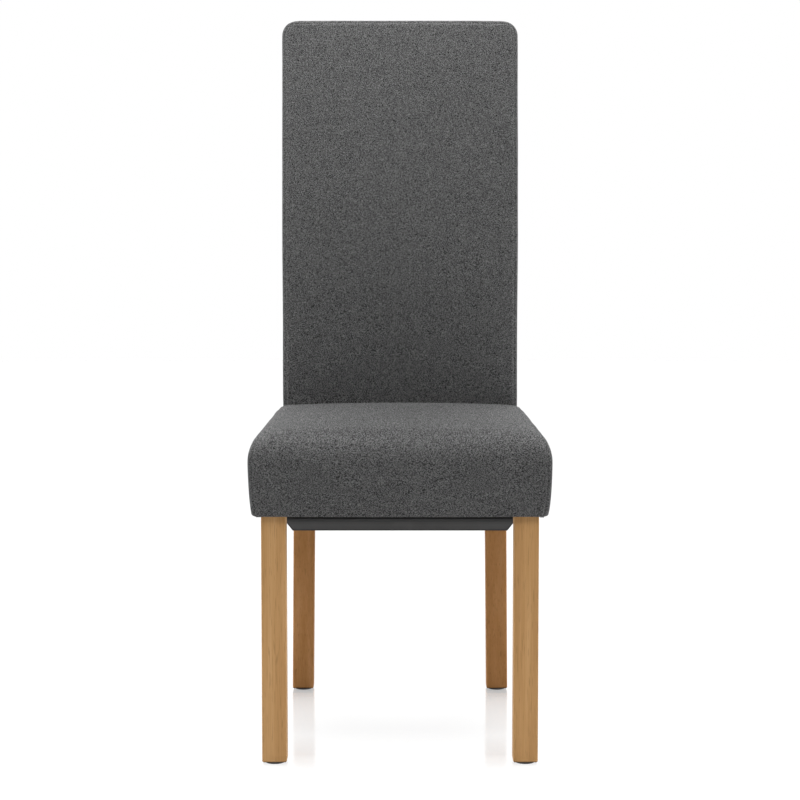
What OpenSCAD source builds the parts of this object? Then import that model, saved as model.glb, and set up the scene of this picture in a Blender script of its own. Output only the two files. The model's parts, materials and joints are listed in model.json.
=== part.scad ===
// High-back upholstered dining chair with square wooden legs.
// Millimetres, +Z up, +X to the sitter's left as seen from the front, the front of the seat towards -Y.
// The origin is on the floor, under the middle of the whole chair.

/* [Overall] */
// Height from the floor to the top of the back
overall_h = 1087; // [1037:5:1137]

/* [Seat] */
// Height of the seat's crown above the floor
seat_h = 477; // [430:1:530]
// Thickness of the seat from its underside to its crown
seat_t = 123; // [118:1:135]
// Widest width across the front of the seat
seat_w = 428; // [380:2:480]
// How much narrower the seat is at its rear, on each side
seat_taper = 8; // [4:1:12]
// Depth from the front of the seat to the back panel
seat_depth = 452; // [430:2:480]
// Radius at which the seat's top rolls over its front
seat_roll_r = 42; // [30:1:46]
// Width of the same roll along the seat's sides
side_roll_w = 28; // [20:1:46]
// Rise of the seat's top across its width
seat_crown = 4; // [1:0.5:6]
// How far the seat's sides draw in below their widest level
seat_draw = 4.5; // [1:0.5:6]
// How far the seat's front bows out at its middle
seat_bow = 3; // [0:0.5:5]
// Radius of the seat's upright front corners
seat_corner_r = 15; // [10:1:18]

/* [Back] */
// How far the seat's rear corners stand outside the back panel
seat_beyond_back = 20; // [18:1:24]
// How much wider the back panel is at its top, on each side
back_flare = 4; // [0:1:8]
// Thickness of the back panel
back_t = 56; // [56:1:64]
// How far the top of the back leans behind its lower end
back_sweep = 88; // [50:2:110]
// How far below the seat's crown the back starts to lean
bend_drop = 57; // [20:1:80]
// How far the back panel reaches below the seat's underside
back_drop = 61; // [55:1:70]
// Radius of the back panel's two top corners, seen from the front
back_corner_r = 24; // [18:1:34]
// Radius along the back panel's edges
back_edge_r = 9; // [7:0.5:12]
// How far the back's front face swells at its middle
back_crown = 4; // [0:0.5:6]

/* [Legs] */
// Side of a square front leg
front_leg_w = 35; // [30:1:36]
// How far the front legs stand inside the seat's sides
front_leg_inset = 18.5; // [18:0.5:22]
// How far the seat's front stands before the front legs
seat_overhang = 12; // [12:1:16]
// Side of a square back leg
back_leg_w = 34; // [30:1:35]
// How far the back posts stand inside the back panel's sides
post_inset = 14.5; // [14.5:0.5:18]
// How far each back leg stands behind its upper end at the floor
back_leg_rake = 36; // [20:1:60]
// How far each back leg stands outside its upper end at the floor
back_leg_splay = 4; // [0:1:10]
// Radius along a leg's upright edges
leg_edge_r = 2; // [1:0.5:4]
// Chamfer round a leg's foot
foot_chamfer = 2; // [1:0.5:3]

/* [Base block] */
// Height of the bevelled base block
block_h = 24; // [20:1:30]
// Height of the block's upright lip
block_lip_h = 4.5; // [3:0.5:6]
// Height of the shadow gap between the block's lip and the back cover
block_gap_h = 3; // [1.5:0.5:4]
// Depth of that shadow gap
block_gap_d = 3; // [2:0.5:4]
// How far the lip stands inside the back panel's outline
block_inset = 1; // [0.5:0.5:4]
// Rim of the block round each leg at its underside
block_rim = 1; // [0.8:0.1:2]

/* [Frame] */
// How far the corner blocks stand below the rails' tops
block_drop = 4; // [3:0.5:8]
// Height of the seat rails
rail_h = 62; // [56:1:64]
// Thickness of the seat rails
rail_t = 22; // [20:1:24]
// Thickness of a corner block between the leg's corner and the block's open face
corner_block_t = 34; // [30:1:40]
// Reach of a rear corner brace along each rail
brace_reach = 75; // [60:1:80]
// Width of a rear corner brace along each rail
brace_w = 28; // [24:1:30]
// Depth of the back frame's uprights, front to rear
stile_d = 28; // [26:1:28]
// Depth of the back frame's cross rails, front to rear
cross_rail_d = 24; // [20:1:24]
// Height of a cross rail
cross_rail_h = 40; // [34:1:48]
// Height of the back frame's top above the floor, less than the chair's own
frame_top_gap = 16; // [14:1:24]
// Diameter of the wooden dowels
dowel_d = 8; // [6:1:10]
// Length of a dowel in each of the pieces that it joins
dowel_half = 18; // [14:1:18]

/* [Upholstery] */
// Thickness of the cloth covers
cloth_t = 2; // [1.5:0.5:2.5]
// How far the seat cover is folded under the rails
seat_fold = 20; // [12:1:30]
// Foam behind the seat's rear rail
rear_foam_t = 4; // [3:0.5:8]
// Foam between the seat cover and the side rails
side_foam_t = 17; // [14:1:17]
// Foam and cloth in front of the back frame
front_pad_t = 20; // [18:1:20]
// Width of the webbing straps
strap_w = 50; // [40:5:60]
// Thickness of the webbing straps
strap_t = 1.5; // [1:0.25:2]
// Radius along the lower end of the back cover, inside it
back_fold_r = 5; // [3:0.5:6]
// How far the back cover is folded under the panel's lower end at its sides
back_side_fold = 14; // [10:1:14]
// How far it is folded under at the panel's front and rear
back_face_fold = 7; // [6:0.5:7]
// Thickness of the dust cover
dust_t = 0.8; // [0.5:0.1:1.2]

/* [Fasteners] */
// Nominal diameter of the bolts
bolt_d = 8; // [6:1:8]
// Height of each bolt above or below the rail's middle
bolt_rise = 12; // [9:1:15]
// Depth of a hanger bolt in the front leg
hanger_depth = 24; // [18:1:26]
// Length of a threaded insert in the back post
insert_l = 16; // [12:1:20]
// Outside diameter of a threaded insert
insert_d = 12; // [10:1:14]
// Diameter of a round glide under a leg
glide_d = 28; // [22:1:29]
// Thickness of a glide
glide_t = 3; // [2:0.5:5]
// Length of a glide's nail in the leg
nail_l = 14; // [10:1:18]
// Diameter of a glide's nail
nail_d = 2; // [1.5:0.25:3]
// Diameter of the wood screws
screw_d = 4; // [3:0.5:5]

/* [Fits] */
// Clearance between soft pieces and what they lie against
soft_fit = 0.3; // [0.2:0.05:0.5]
// Clearance round bolts, dowels, nails and screws in their holes
hole_fit = 0.1; // [0.05:0.05:0.3]

/* [Hidden] */
$fn = 32;

// Colours as the photograph shows them
oak = [0.68, 0.54, 0.38];
dark_oak = [0.54, 0.38, 0.25];
raw_wood = [0.80, 0.70, 0.52];
charcoal = [0.30, 0.30, 0.31];
block_grey = [0.26, 0.26, 0.27];
near_black = [0.09, 0.09, 0.10];
foam_cream = [0.93, 0.90, 0.80];
strap_brown = [0.45, 0.36, 0.26];
steel = [0.72, 0.73, 0.75];

// Heights and widths that follow from the seat's
seat_bottom = seat_h - seat_t;
seat_rear_w = seat_w - 2 * seat_taper;
back_bend_z = seat_h - bend_drop;
back_bottom = seat_bottom - back_drop;
back_low_w = seat_rear_w - 2 * seat_beyond_back;
back_top_w = back_low_w + 2 * back_flare;
front_leg_span = seat_w - 2 * front_leg_inset;
back_leg_span = back_low_w - 2 * post_inset;
block_top = back_bottom;
block_bottom = block_top - block_h;

// Places along Y, from the seat's front to the rear of the back's top edge
back_rise = overall_h - back_bend_z;
function back_lean(z) = back_sweep * pow(max(0, z - back_bend_z) / back_rise, 2);
overall_d = seat_depth + back_t + back_lean(overall_h - back_edge_r);
front_y = -overall_d / 2;
leg_y = front_y + seat_overhang;
back_y = front_y + seat_depth;
rail_rear_y = back_y - soft_fit - cloth_t - rear_foam_t - soft_fit;

// Heights in the seat
cover_z = seat_bottom + dust_t;
rail_z = cover_z + cloth_t;
rail_top = rail_z + rail_h;
strap_wave = (strap_t + soft_fit) / 2;
seat_deck = rail_top + strap_t + strap_wave + soft_fit;
roll_z = seat_h - seat_crown - seat_roll_r;
bolt_zs = [rail_z + rail_h / 2 - bolt_rise, rail_z + rail_h / 2 + bolt_rise];
dowel_zs = [rail_z + dowel_d, rail_top - dowel_d];

// The front leg's inner corner, and the middle of the leg
leg_in_x = front_leg_span / 2 - front_leg_w;
leg_rear_y = leg_y + front_leg_w;
leg_mid_x = front_leg_span / 2 - front_leg_w / 2;
leg_mid_y = leg_y + front_leg_w / 2;

// Outside of the seat frame, which narrows to the rear from the front legs on
frame_rear_half = seat_rear_w / 2 - cloth_t - side_foam_t;
frame_taper = (front_leg_span / 2 - frame_rear_half) / (rail_rear_y - leg_rear_y);
function frame_half(y) = front_leg_span / 2 - frame_taper * (y - leg_rear_y);
function frame_inner(y) = frame_half(y) - rail_t;

// The middle of the back leg's upper end, and the back frame's places behind the panel's front face
post_mid_x = (back_leg_span - back_leg_w) / 2;
post_mid_y = back_y + back_t / 2;
stile_out = back_leg_span / 2;
stile_in = stile_out - back_leg_w;
frame_top = overall_h - frame_top_gap;
cross_rail_off = front_pad_t + (stile_d - cross_rail_d) / 2;
rear_pad_off = front_pad_t + stile_d + soft_fit;
cover_rear_off = back_t - cloth_t - soft_fit;

// Front face of the back panel: upright at first, then swept back in short flats along a parabola
back_flats = 10;
flat_h = back_rise / back_flats;
bend_zs = [for (i = [0 : back_flats - 1]) back_bend_z + i * flat_h];
function back_face(z) =
    let (i = max(0, floor((z - back_bend_z) / flat_h)), z0 = back_bend_z + i * flat_h)
    back_y + back_lean(z0) + (back_lean(z0 + flat_h) - back_lean(z0)) * max(0, z - z0) / flat_h;
// The heights from z1 to z2 at which the flats meet, with z1 and z2
function bends(z1, z2) = concat([z1], [for (z = bend_zs) if (z > z1 + 0.1 && z < z2 - 0.1) z], [z2]);
function back_half(z) =
    (back_low_w + (back_top_w - back_low_w) * (z - back_bottom) / (overall_h - back_bottom)) / 2;

// Cross rails of the back frame, each by the height of its lower edge
top_rail_z = frame_top - cross_rail_h;
bottom_rail_z = back_bottom + cloth_t + soft_fit;
pad_z = bottom_rail_z + back_fold_r;
lumbar_rail_z = seat_h - cross_rail_h;
middle_rail_z = (top_rail_z + lumbar_rail_z) / 2;
cross_rail_zs = [bottom_rail_z, lumbar_rail_z, middle_rail_z, top_rail_z];
back_strap_zs = [for (i = [1 : 5]) lumbar_rail_z + (top_rail_z - lumbar_rail_z) * i / 6];

// Sizes of standard hardware, from the bolt's diameter
washer_t = 1.6;
washer_d = bolt_d * 2.1;
nut_across = bolt_d * 1.625;
nut_t = bolt_d * 0.8;
bolt_tail = 3;

// Counts round the soft pieces' outlines
front_turns = 6;
rear_turns = 3;
face_points = 5;
side_points = 2;

// Outlines of soft pieces
function arc(x, y, r, from, to, n) =
    [for (i = [0 : n - 1]) let (a = from + (to - from) * i / (n - 1)) [x + r * cos(a), y + r * sin(a)]];
function between(p, q, n) = [for (i = [1 : n]) p + (q - p) * i / (n + 1)];
function reversed(list) = [for (i = [len(list) - 1 : -1 : 0]) list[i]];
function mirrored(points) = [for (p = reversed(points)) [-p.x, p.y]];

// A four-sided outline with round corners, bowed out at its front, anticlockwise from its front left
function soft_outline(front_half, rear_half, y1, y2, r1, r2, bow) =
    let (
        front_right = arc(front_half - r1, y1 + r1, r1, 270, 360, front_turns),
        rear_right = arc(rear_half - r2, y2 - r2, r2, 0, 90, rear_turns),
        front_left = mirrored(front_right),
        rear_left = mirrored(rear_right),
        flat = concat(
            front_left, between(front_left[front_turns - 1], front_right[0], face_points),
            front_right, between(front_right[front_turns - 1], rear_right[0], side_points),
            rear_right, between(rear_right[rear_turns - 1], rear_left[0], face_points),
            rear_left, between(rear_left[rear_turns - 1], front_left[0], side_points)),
        reach = (y2 - y1) / 3)
    [for (p = flat)
        [p.x, p.y - bow * (1 - pow(p.x / front_half, 2)) * max(0, 1 - (p.y - y1) / reach)]];

// A solid through a stack of outlines, closed at each end by a fan to a tip. Its four-sided patches are
// split the same way whether the stack rises or falls, so that nested solids keep their distance.
module loft(rings, first_tip, last_tip) {
    m = len(rings[0]);
    n = len(rings);
    sides = [for (k = [0 : n - 2], i = [0 : m - 1])
        let (a = k * m + i, b = k * m + (i + 1) % m, rises = rings[k + 1][0].z >= rings[k][0].z)
        each (rises ? [[a, a + m, b + m], [a, b + m, b]] : [[a, a + m, b], [a + m, b + m, b]])];
    first_fan = [for (i = [0 : m - 1]) [n * m, i, (i + 1) % m]];
    last_fan = [for (i = [0 : m - 1]) [n * m + 1, (n - 1) * m + (i + 1) % m, (n - 1) * m + i]];
    polyhedron(
        points = concat([for (ring = rings) each ring], [first_tip, last_tip]),
        faces = concat(sides, first_fan, last_fan));
}

// One level of the seat's outline: drawn in from the outside at its sides, its front and its rear.
// Its front corners get rounder the further it is drawn in.
seat_rear_r = 2;
corner_growth = 0.6;
function seat_ring(z, side_in, front_in, rear_in, lift) =
    let (front_r = max(seat_rear_r, seat_corner_r + corner_growth * (front_in - seat_draw)))
    [for (p = soft_outline(
            seat_w / 2 - side_in, seat_rear_w / 2 - side_in,
            front_y + seat_bow + front_in, back_y - soft_fit - rear_in, front_r, seat_rear_r, seat_bow))
        [p.x, p.y, z + lift * seat_swell(p.x)]];
function seat_swell(x) = seat_crown * max(0, 1 - pow(x / (seat_w / 2 - side_roll_w), 2));

// Draw of the seat's sides at a height below its widest level
function draw_at(z) = seat_draw * pow(max(0, roll_z - z) / (roll_z - cover_z), 2);

// The seat's side wall, its roll and its top, at a distance inside the outer face
function seat_wall(skin, heights) =
    [for (z = heights) let (d = draw_at(z) + skin) seat_ring(z, d, d, skin, 0)];
function seat_roll(skin, steps) =
    [for (i = [1 : steps]) let (a = 90 * i / steps, r = seat_roll_r - skin, w = side_roll_w - skin)
        seat_ring(roll_z + r * sin(a), side_roll_w - w * cos(a), seat_roll_r - r * cos(a), skin,
            pow(sin(a), 2))];
function seat_top(skin, insets) =
    [for (inset = insets)
        seat_ring(roll_z + seat_roll_r - skin, side_roll_w + inset, seat_roll_r + inset, skin + inset, 1)];
function seat_tip(skin) = [0, (front_y + back_y) / 2, seat_h - skin];
top_insets = [for (k = [1 : 3]) k * (seat_rear_w / 2 - side_roll_w) / 4];
wall_zs = [for (k = [2 : -1 : 0]) roll_z - k * (roll_z - cover_z) / 3];
// How far the seat's soft pieces turn in at their lower ends
seat_turn_in = 2;

module seat_cover() {
    lower_r = 5;
    under = draw_at(cover_z);
    fold = under + seat_fold;
    foot = draw_at(rail_z) + cloth_t + seat_turn_in;
    inner = reversed(concat(
        [seat_ring(rail_z, fold, fold, seat_fold, 0), seat_ring(rail_z, foot, foot, cloth_t, 0)],
        seat_wall(cloth_t, concat([rail_z + lower_r], wall_zs)),
        seat_roll(cloth_t, 5), seat_top(cloth_t, top_insets)));
    outer = concat(
        [seat_ring(cover_z, fold, fold, seat_fold, 0)],
        [for (i = [0 : 2]) let (a = 45 * i, d = under + lower_r * (1 - sin(a)))
            seat_ring(cover_z + lower_r * (1 - cos(a)), d, d, i < 2 ? 1 : 0, 0)],
        seat_wall(0, wall_zs),
        seat_roll(0, 6), seat_top(0, top_insets));
    color(charcoal) difference() {
        loft(concat(inner, outer), seat_tip(cloth_t), seat_tip(0));
        front_leg_slots(rail_z);
        seat_bolt_holes();
    }
}

// Slots in thin pieces under the seat where the front legs pass
module front_leg_slots(z) {
    slot = front_leg_w + 2 * soft_fit;
    for (side = [-1, 1]) translate([side * leg_mid_x, leg_mid_y, z])
        cube([slot, slot, 4 * cloth_t], center = true);
}

// The foam over the frame: solid above the webbing, with walls down the outside of the rails that end
// above the cover's fold
module seat_foam() {
    skin = cloth_t + soft_fit;
    rim_z = rail_z + 3 * seat_turn_in;
    well_r = 0.5;
    well = soft_outline(
        frame_half(leg_y) + soft_fit, frame_rear_half + soft_fit,
        leg_y - soft_fit, rail_rear_y + soft_fit, well_r, well_r, 0);
    inner = [for (z = [seat_deck, rim_z]) [for (p = well) [p.x, p.y, z]]];
    outer = concat(
        seat_wall(skin, concat([rim_z], wall_zs)), seat_roll(skin, 5), seat_top(skin, top_insets));
    color(foam_cream) difference() {
        loft(concat(inner, outer), [0, (leg_y + rail_rear_y) / 2, seat_deck], seat_tip(skin));
        seat_bolt_holes();
    }
}

module dust_cover() {
    inset = 7;
    edge = seat_draw + inset;
    side_front = seat_w / 2 - edge;
    side_rear = seat_rear_w / 2 - edge;
    color(near_black) difference() {
        translate([0, 0, seat_bottom]) linear_extrude(dust_t) polygon([
            [-side_front, front_y + edge], [side_front, front_y + edge],
            [side_rear, back_y - inset], [-side_rear, back_y - inset]]);
        front_leg_slots(seat_bottom);
    }
}

// Square wood with round upright edges
module square_post(w, r, h) {
    linear_extrude(h) {
        square([w - 2 * r, w], center = true);
        square([w, w - 2 * r], center = true);
        for (x = [-1, 1], y = [-1, 1]) translate([x, y] * (w / 2 - r)) circle(r);
    }
}

// Space that a leg with a chamfered foot fills, standing on its lower face
module foot_space(w, h) {
    outline = [
        [-w / 2 + foot_chamfer, 0], [w / 2 - foot_chamfer, 0], [w / 2, foot_chamfer],
        [w / 2, h], [-w / 2, h], [-w / 2, foot_chamfer]];
    intersection() {
        rotate([90, 0, 0]) translate([0, 0, -w]) linear_extrude(2 * w) polygon(outline);
        rotate([90, 0, 90]) translate([0, 0, -w]) linear_extrude(2 * w) polygon(outline);
    }
}

module front_leg(side) {
    color(oak) difference() {
        translate([side * leg_mid_x, leg_mid_y, glide_t]) intersection() {
            square_post(front_leg_w, leg_edge_r, rail_top - glide_t);
            foot_space(front_leg_w, rail_top - glide_t);
        }
        hanger_bolt(side, hole_fit);
        seat_dowels(hole_fit);
        glide_nails(hole_fit);
    }
}

// The back's side profile between two heights and two distances behind its front face
function bent_profile(z1, z2, off1, off2) =
    let (zs = bends(z1, z2))
    concat([for (z = zs) [back_face(z) + off1, z]], [for (z = reversed(zs)) [back_face(z) + off2, z]]);

// A bar with that profile, across the chair from x1 to x2
module bent_bar(x1, x2, z1, z2, off1, off2) {
    translate([x1, 0, 0]) rotate([90, 0, 90]) linear_extrude(x2 - x1)
        polygon(bent_profile(z1, z2, off1, off2));
}

// The raked and splayed leg below the base block, cut level at its foot
module back_leg(side) {
    drop = block_bottom - glide_t;
    rake = atan(back_leg_rake / block_bottom);
    splay = atan(back_leg_splay / block_bottom);
    intersection() {
        translate([side * post_mid_x, post_mid_y, block_bottom])
            rotate([rake, -side * splay, 0]) translate([0, 0, -drop - back_leg_w])
            square_post(back_leg_w, leg_edge_r, drop + 2 * back_leg_w);
        union() {
            translate([
                    side * (post_mid_x + back_leg_splay * drop / block_bottom),
                    post_mid_y + back_leg_rake * drop / block_bottom, glide_t])
                foot_space(back_leg_w / cos(rake) + hole_fit, 4 * foot_chamfer);
            translate([-back_leg_span, back_y - back_t, glide_t + foot_chamfer])
                cube([2 * back_leg_span, 4 * back_t, drop - foot_chamfer]);
        }
    }
}

module back_post(side) {
    color(dark_oak) difference() {
        union() {
            back_leg(side);
            translate([side * post_mid_x, post_mid_y, block_bottom])
                square_post(back_leg_w, leg_edge_r, back_bottom - block_bottom);
            bent_bar(
                side * post_mid_x - back_leg_w / 2, side * post_mid_x + back_leg_w / 2,
                back_bottom, frame_top, front_pad_t, front_pad_t + stile_d);
        }
        back_dowels(hole_fit);
        insert_sleeves(insert_d / 2 + hole_fit, insert_l + bolt_d, 1);
        glide_nails(hole_fit);
    }
}

// Centres of the four feet on the floor
foot_places = [
    [-leg_mid_x, leg_mid_y], [leg_mid_x, leg_mid_y],
    [-post_mid_x - back_leg_splay, post_mid_y + back_leg_rake],
    [post_mid_x + back_leg_splay, post_mid_y + back_leg_rake]];

module glides() {
    glide_edge = 0.8;
    color(near_black) for (p = foot_places) translate([p.x, p.y, 0]) rotate_extrude()
        polygon([
            [0, 0], [glide_d / 2 - glide_edge, 0], [glide_d / 2, glide_edge], [glide_d / 2, glide_t],
            [nail_d / 2, glide_t], [nail_d / 2, glide_t + nail_l - nail_d], [0, glide_t + nail_l]]);
}

module glide_nails(spare) {
    for (p = foot_places) translate([p.x, p.y, glide_t - spare])
        cylinder(d = nail_d + 2 * spare, h = nail_l + 3 * spare);
}

// Seat frame
module seat_front_rail() {
    color(raw_wood) difference() {
        translate([-leg_in_x, leg_y, rail_z]) cube([2 * leg_in_x, rail_t, rail_h]);
        seat_dowels(hole_fit);
        block_screws(hole_fit);
    }
}

module seat_rear_rail() {
    y1 = rail_rear_y - rail_t;
    color(raw_wood) difference() {
        translate([0, 0, rail_z]) linear_extrude(rail_h) polygon([
            [-frame_inner(y1), y1], [frame_inner(y1), y1],
            [frame_inner(rail_rear_y), rail_rear_y], [-frame_inner(rail_rear_y), rail_rear_y]]);
        seat_dowels(hole_fit);
        seat_bolt_holes();
        block_screws(hole_fit);
    }
}

module seat_side_rail(side) {
    color(raw_wood) difference() {
        translate([0, 0, rail_z]) linear_extrude(rail_h) polygon([
            [side * frame_half(leg_rear_y), leg_rear_y], [side * frame_half(rail_rear_y), rail_rear_y],
            [side * frame_inner(rail_rear_y), rail_rear_y], [side * frame_inner(leg_rear_y), leg_rear_y]]);
        seat_dowels(hole_fit);
        block_screws(hole_fit);
    }
}

// The front corner block's ends on the two rails, its open face at 45 degrees
block_slant = corner_block_t * sqrt(2);
block_end_x = leg_in_x - block_slant - (front_leg_w - rail_t);
block_end_y = leg_rear_y
    + (block_slant + frame_inner(leg_rear_y) - leg_in_x) / (1 + frame_taper);

module corner_block_front(side) {
    color(raw_wood) difference() {
        translate([0, 0, rail_z]) linear_extrude(rail_h - block_drop) polygon([
            [side * block_end_x, leg_y + rail_t], [side * leg_in_x, leg_y + rail_t],
            [side * leg_in_x, leg_rear_y], [side * frame_inner(leg_rear_y), leg_rear_y],
            [side * frame_inner(block_end_y), block_end_y]]);
        hanger_bolt(side, hole_fit);
        block_screws(hole_fit);
    }
}

module corner_block_rear(side) {
    y0 = rail_rear_y - rail_t;
    color(raw_wood) difference() {
        translate([0, 0, rail_z]) linear_extrude(rail_h - block_drop) polygon([
            [side * (frame_inner(y0) - brace_reach), y0],
            [side * (frame_inner(y0) - brace_reach + brace_w), y0],
            [side * frame_inner(y0 - brace_reach + brace_w), y0 - brace_reach + brace_w],
            [side * frame_inner(y0 - brace_reach), y0 - brace_reach]]);
        block_screws(hole_fit);
    }
}

// Dowels of the seat frame: front rail to leg, leg to side rail, side rail to rear rail
module seat_dowels(spare) {
    r = dowel_d / 2 + spare;
    half = dowel_half + 3 * spare;
    rear_y = rail_rear_y - rail_t / 2;
    into_side = rail_t / 2;
    for (side = [-1, 1], z = dowel_zs) {
        translate([side * leg_in_x, leg_y + rail_t / 2, z]) rotate([0, 90, 0])
            cylinder(r = r, h = 2 * half, center = true);
        translate([side * (frame_inner(leg_rear_y) + rail_t / 2), leg_rear_y, z]) rotate([90, 0, 0])
            cylinder(r = r, h = 2 * half, center = true);
        translate([side * (frame_inner(rear_y) + into_side), rear_y, z]) rotate([0, -side * 90, 0])
            translate([0, 0, -3 * spare]) cylinder(r = r, h = into_side + half + 3 * spare);
    }
}

module seat_frame_dowels() {
    color(raw_wood) seat_dowels(0);
}

// Wood screws that hold the corner blocks, driven square into the rails, with their heads sunk in the
// blocks' slanted faces
module block_screws(spare) {
    z = rail_z + rail_h / 2;
    y0 = rail_rear_y - rail_t;
    tip_in = brace_w / 2;
    seat = tip_in - screw_d;
    bite = rail_t * 0.6;
    for (side = [-1, 1]) {
        translate([side * (block_end_x + tip_in), leg_y + rail_t + seat, z]) rotate([90, 0, 0])
            wood_screw(seat, bite, spare);
        translate([side * (frame_inner(block_end_y) - seat), block_end_y - tip_in, z])
            rotate([0, side * 90, 0]) wood_screw(seat, bite, spare);
        translate([side * (frame_inner(y0) - brace_reach + tip_in), y0 - seat, z])
            rotate([-90, 0, 0]) wood_screw(seat, bite, spare);
        translate([side * (frame_inner(y0) - seat), y0 - brace_reach + tip_in, z])
            rotate([0, side * 90, 0]) wood_screw(seat, bite, spare);
    }
}

// A countersunk screw along +Z with its head at the origin, or its hole, with a recess before the head
module wood_screw(through, bite, spare) {
    head = screw_d * 2;
    recess = spare > 0 ? head : 0;
    rotate_extrude() polygon([
        [0, -recess], [head / 2 + spare, -recess], [head / 2 + spare, 0], [screw_d / 2 + spare, screw_d / 2],
        [screw_d / 2 + spare, through + bite - screw_d], [0, through + bite + spare]]);
}

module corner_block_screws() {
    color(steel) block_screws(0);
}

// A place at a front leg's inner corner, with +Z running diagonally into the seat
module at_leg_corner(side, z) {
    translate([side * leg_in_x, leg_rear_y, z]) rotate([0, 0, 90 + side * 45]) rotate([0, 90, 0]) children();
}

module hanger_bolt(side, spare) {
    for (z = bolt_zs) at_leg_corner(side, z) translate([0, 0, -hanger_depth - 3 * spare])
        cylinder(d = bolt_d + 2 * spare,
            h = hanger_depth + corner_block_t + washer_t + nut_t + bolt_tail + 3 * spare);
}

module leg_hanger_bolts() {
    color(steel) for (side = [-1, 1]) hanger_bolt(side, 0);
}

module washer() {
    rotate_extrude() translate([bolt_d / 2 + hole_fit, 0])
        square([(washer_d - bolt_d) / 2 - hole_fit, washer_t]);
}

module leg_washers() {
    color(steel) for (side = [-1, 1], z = bolt_zs) at_leg_corner(side, z)
        translate([0, 0, corner_block_t]) washer();
}

module leg_nuts() {
    color(steel) for (side = [-1, 1], z = bolt_zs) at_leg_corner(side, z)
        translate([0, 0, corner_block_t + washer_t]) difference() {
            cylinder(d = nut_across / cos(30), h = nut_t, $fn = 6);
            translate([0, 0, -nut_t]) cylinder(d = bolt_d + 2 * hole_fit, h = 3 * nut_t);
        }
}

// Straps woven over and under each other, each side of the rails' own level
function wave(signs, places, ends, half) =
    concat([[ends[0], 0]],
        [for (i = [0 : len(places) - 1]) each [
            [places[i] - half, signs[i] * strap_wave], [places[i] + half, signs[i] * strap_wave]]],
        [[ends[1], 0]]);
function strap_profile(line) = concat(line, [for (p = reversed(line)) [p.x, p.y + strap_t]]);

// Straps each way, their least distance from the legs, and how far they end inside the frame's outside
strap_count = 4;
strap_edge = 4;
strap_end_in = 4;
long_xs = [for (i = [0 : strap_count - 1])
    (i - (strap_count - 1) / 2) * (2 * leg_in_x - strap_w - 2 * strap_edge) / (strap_count - 1)];
cross_ys = [for (i = [1 : strap_count]) leg_rear_y
    + (rail_rear_y - rail_t - leg_rear_y) * (i - 0.5) / strap_count];
crossing_half = strap_w / 2 + strap_edge / 2;

module seat_webbing_lengthwise() {
    for (i = [0 : strap_count - 1]) {
        signs = [for (j = [0 : strap_count - 1]) (i + j) % 2 == 0 ? 1 : -1];
        line = concat([[leg_y + strap_end_in, 0]],
            wave(signs, cross_ys, [leg_y + rail_t, rail_rear_y - rail_t], crossing_half),
            [[rail_rear_y - strap_end_in, 0]]);
        color(strap_brown) translate([long_xs[i] - strap_w / 2, 0, rail_top])
            rotate([90, 0, 90]) linear_extrude(strap_w) polygon(strap_profile(line));
    }
}

module seat_webbing_crosswise() {
    for (j = [0 : strap_count - 1]) {
        signs = [for (i = [0 : strap_count - 1]) (i + j) % 2 == 0 ? -1 : 1];
        inner = frame_inner(cross_ys[j] + strap_w / 2);
        outer = frame_half(cross_ys[j] + strap_w / 2) - strap_end_in;
        line = concat([[-outer, 0]],
            wave(signs, long_xs, [-inner, inner], crossing_half), [[outer, 0]]);
        color(strap_brown) translate([0, cross_ys[j] + strap_w / 2, rail_top])
            rotate([90, 0, 0]) linear_extrude(strap_w) polygon(strap_profile(line));
    }
}

// Bolts from inside the seat, through its rear rail into the back posts
module seat_bolt_holes() {
    for (side = [-1, 1], z = bolt_zs)
        translate([side * post_mid_x, rail_rear_y - rail_t - bolt_d, z]) rotate([-90, 0, 0])
            cylinder(d = bolt_d + 2 * hole_fit, h = rail_t + 2 * bolt_d + back_t);
}

module insert_sleeves(r, l, lead) {
    for (side = [-1, 1], z = bolt_zs)
        translate([side * post_mid_x, back_face(z) + front_pad_t - lead, z]) rotate([-90, 0, 0])
            cylinder(r = r, h = l + lead);
}

module threaded_inserts() {
    color(steel) difference() {
        insert_sleeves(insert_d / 2, insert_l, 0);
        seat_bolt_holes();
    }
}

module seat_back_washers() {
    color(steel) for (side = [-1, 1], z = bolt_zs)
        translate([side * post_mid_x, rail_rear_y - rail_t - washer_t, z]) rotate([-90, 0, 0]) washer();
}

module seat_back_bolts() {
    head_d = bolt_d * 1.6;
    head_t = bolt_d * 0.8;
    key_across = bolt_d * 0.75;
    reach = back_y + front_pad_t + insert_l - (rail_rear_y - rail_t - washer_t);
    color(near_black) for (side = [-1, 1], z = bolt_zs)
        translate([side * post_mid_x, rail_rear_y - rail_t - washer_t, z]) rotate([-90, 0, 0])
        difference() {
            union() {
                translate([0, 0, -head_t]) cylinder(d = head_d, h = head_t);
                cylinder(d = bolt_d, h = reach);
            }
            translate([0, 0, -1.5 * head_t]) cylinder(d = key_across, h = head_t, $fn = 6);
        }
}

// Back frame
module cross_rail(z) {
    color(raw_wood) difference() {
        bent_bar(-stile_in, stile_in, z, z + cross_rail_h, cross_rail_off, cross_rail_off + cross_rail_d);
        back_dowels(hole_fit);
        base_screws(hole_fit);
    }
}

module back_dowels(spare) {
    for (side = [-1, 1], rail = cross_rail_zs, part = [0.25, 0.75]) {
        z = rail + cross_rail_h * part;
        translate([side * stile_in, back_face(z) + front_pad_t + stile_d / 2, z]) rotate([0, 90, 0])
            cylinder(d = dowel_d + 2 * spare, h = 2 * (dowel_half + 3 * spare), center = true);
    }
}

module back_frame_dowels() {
    color(raw_wood) back_dowels(0);
}

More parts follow.
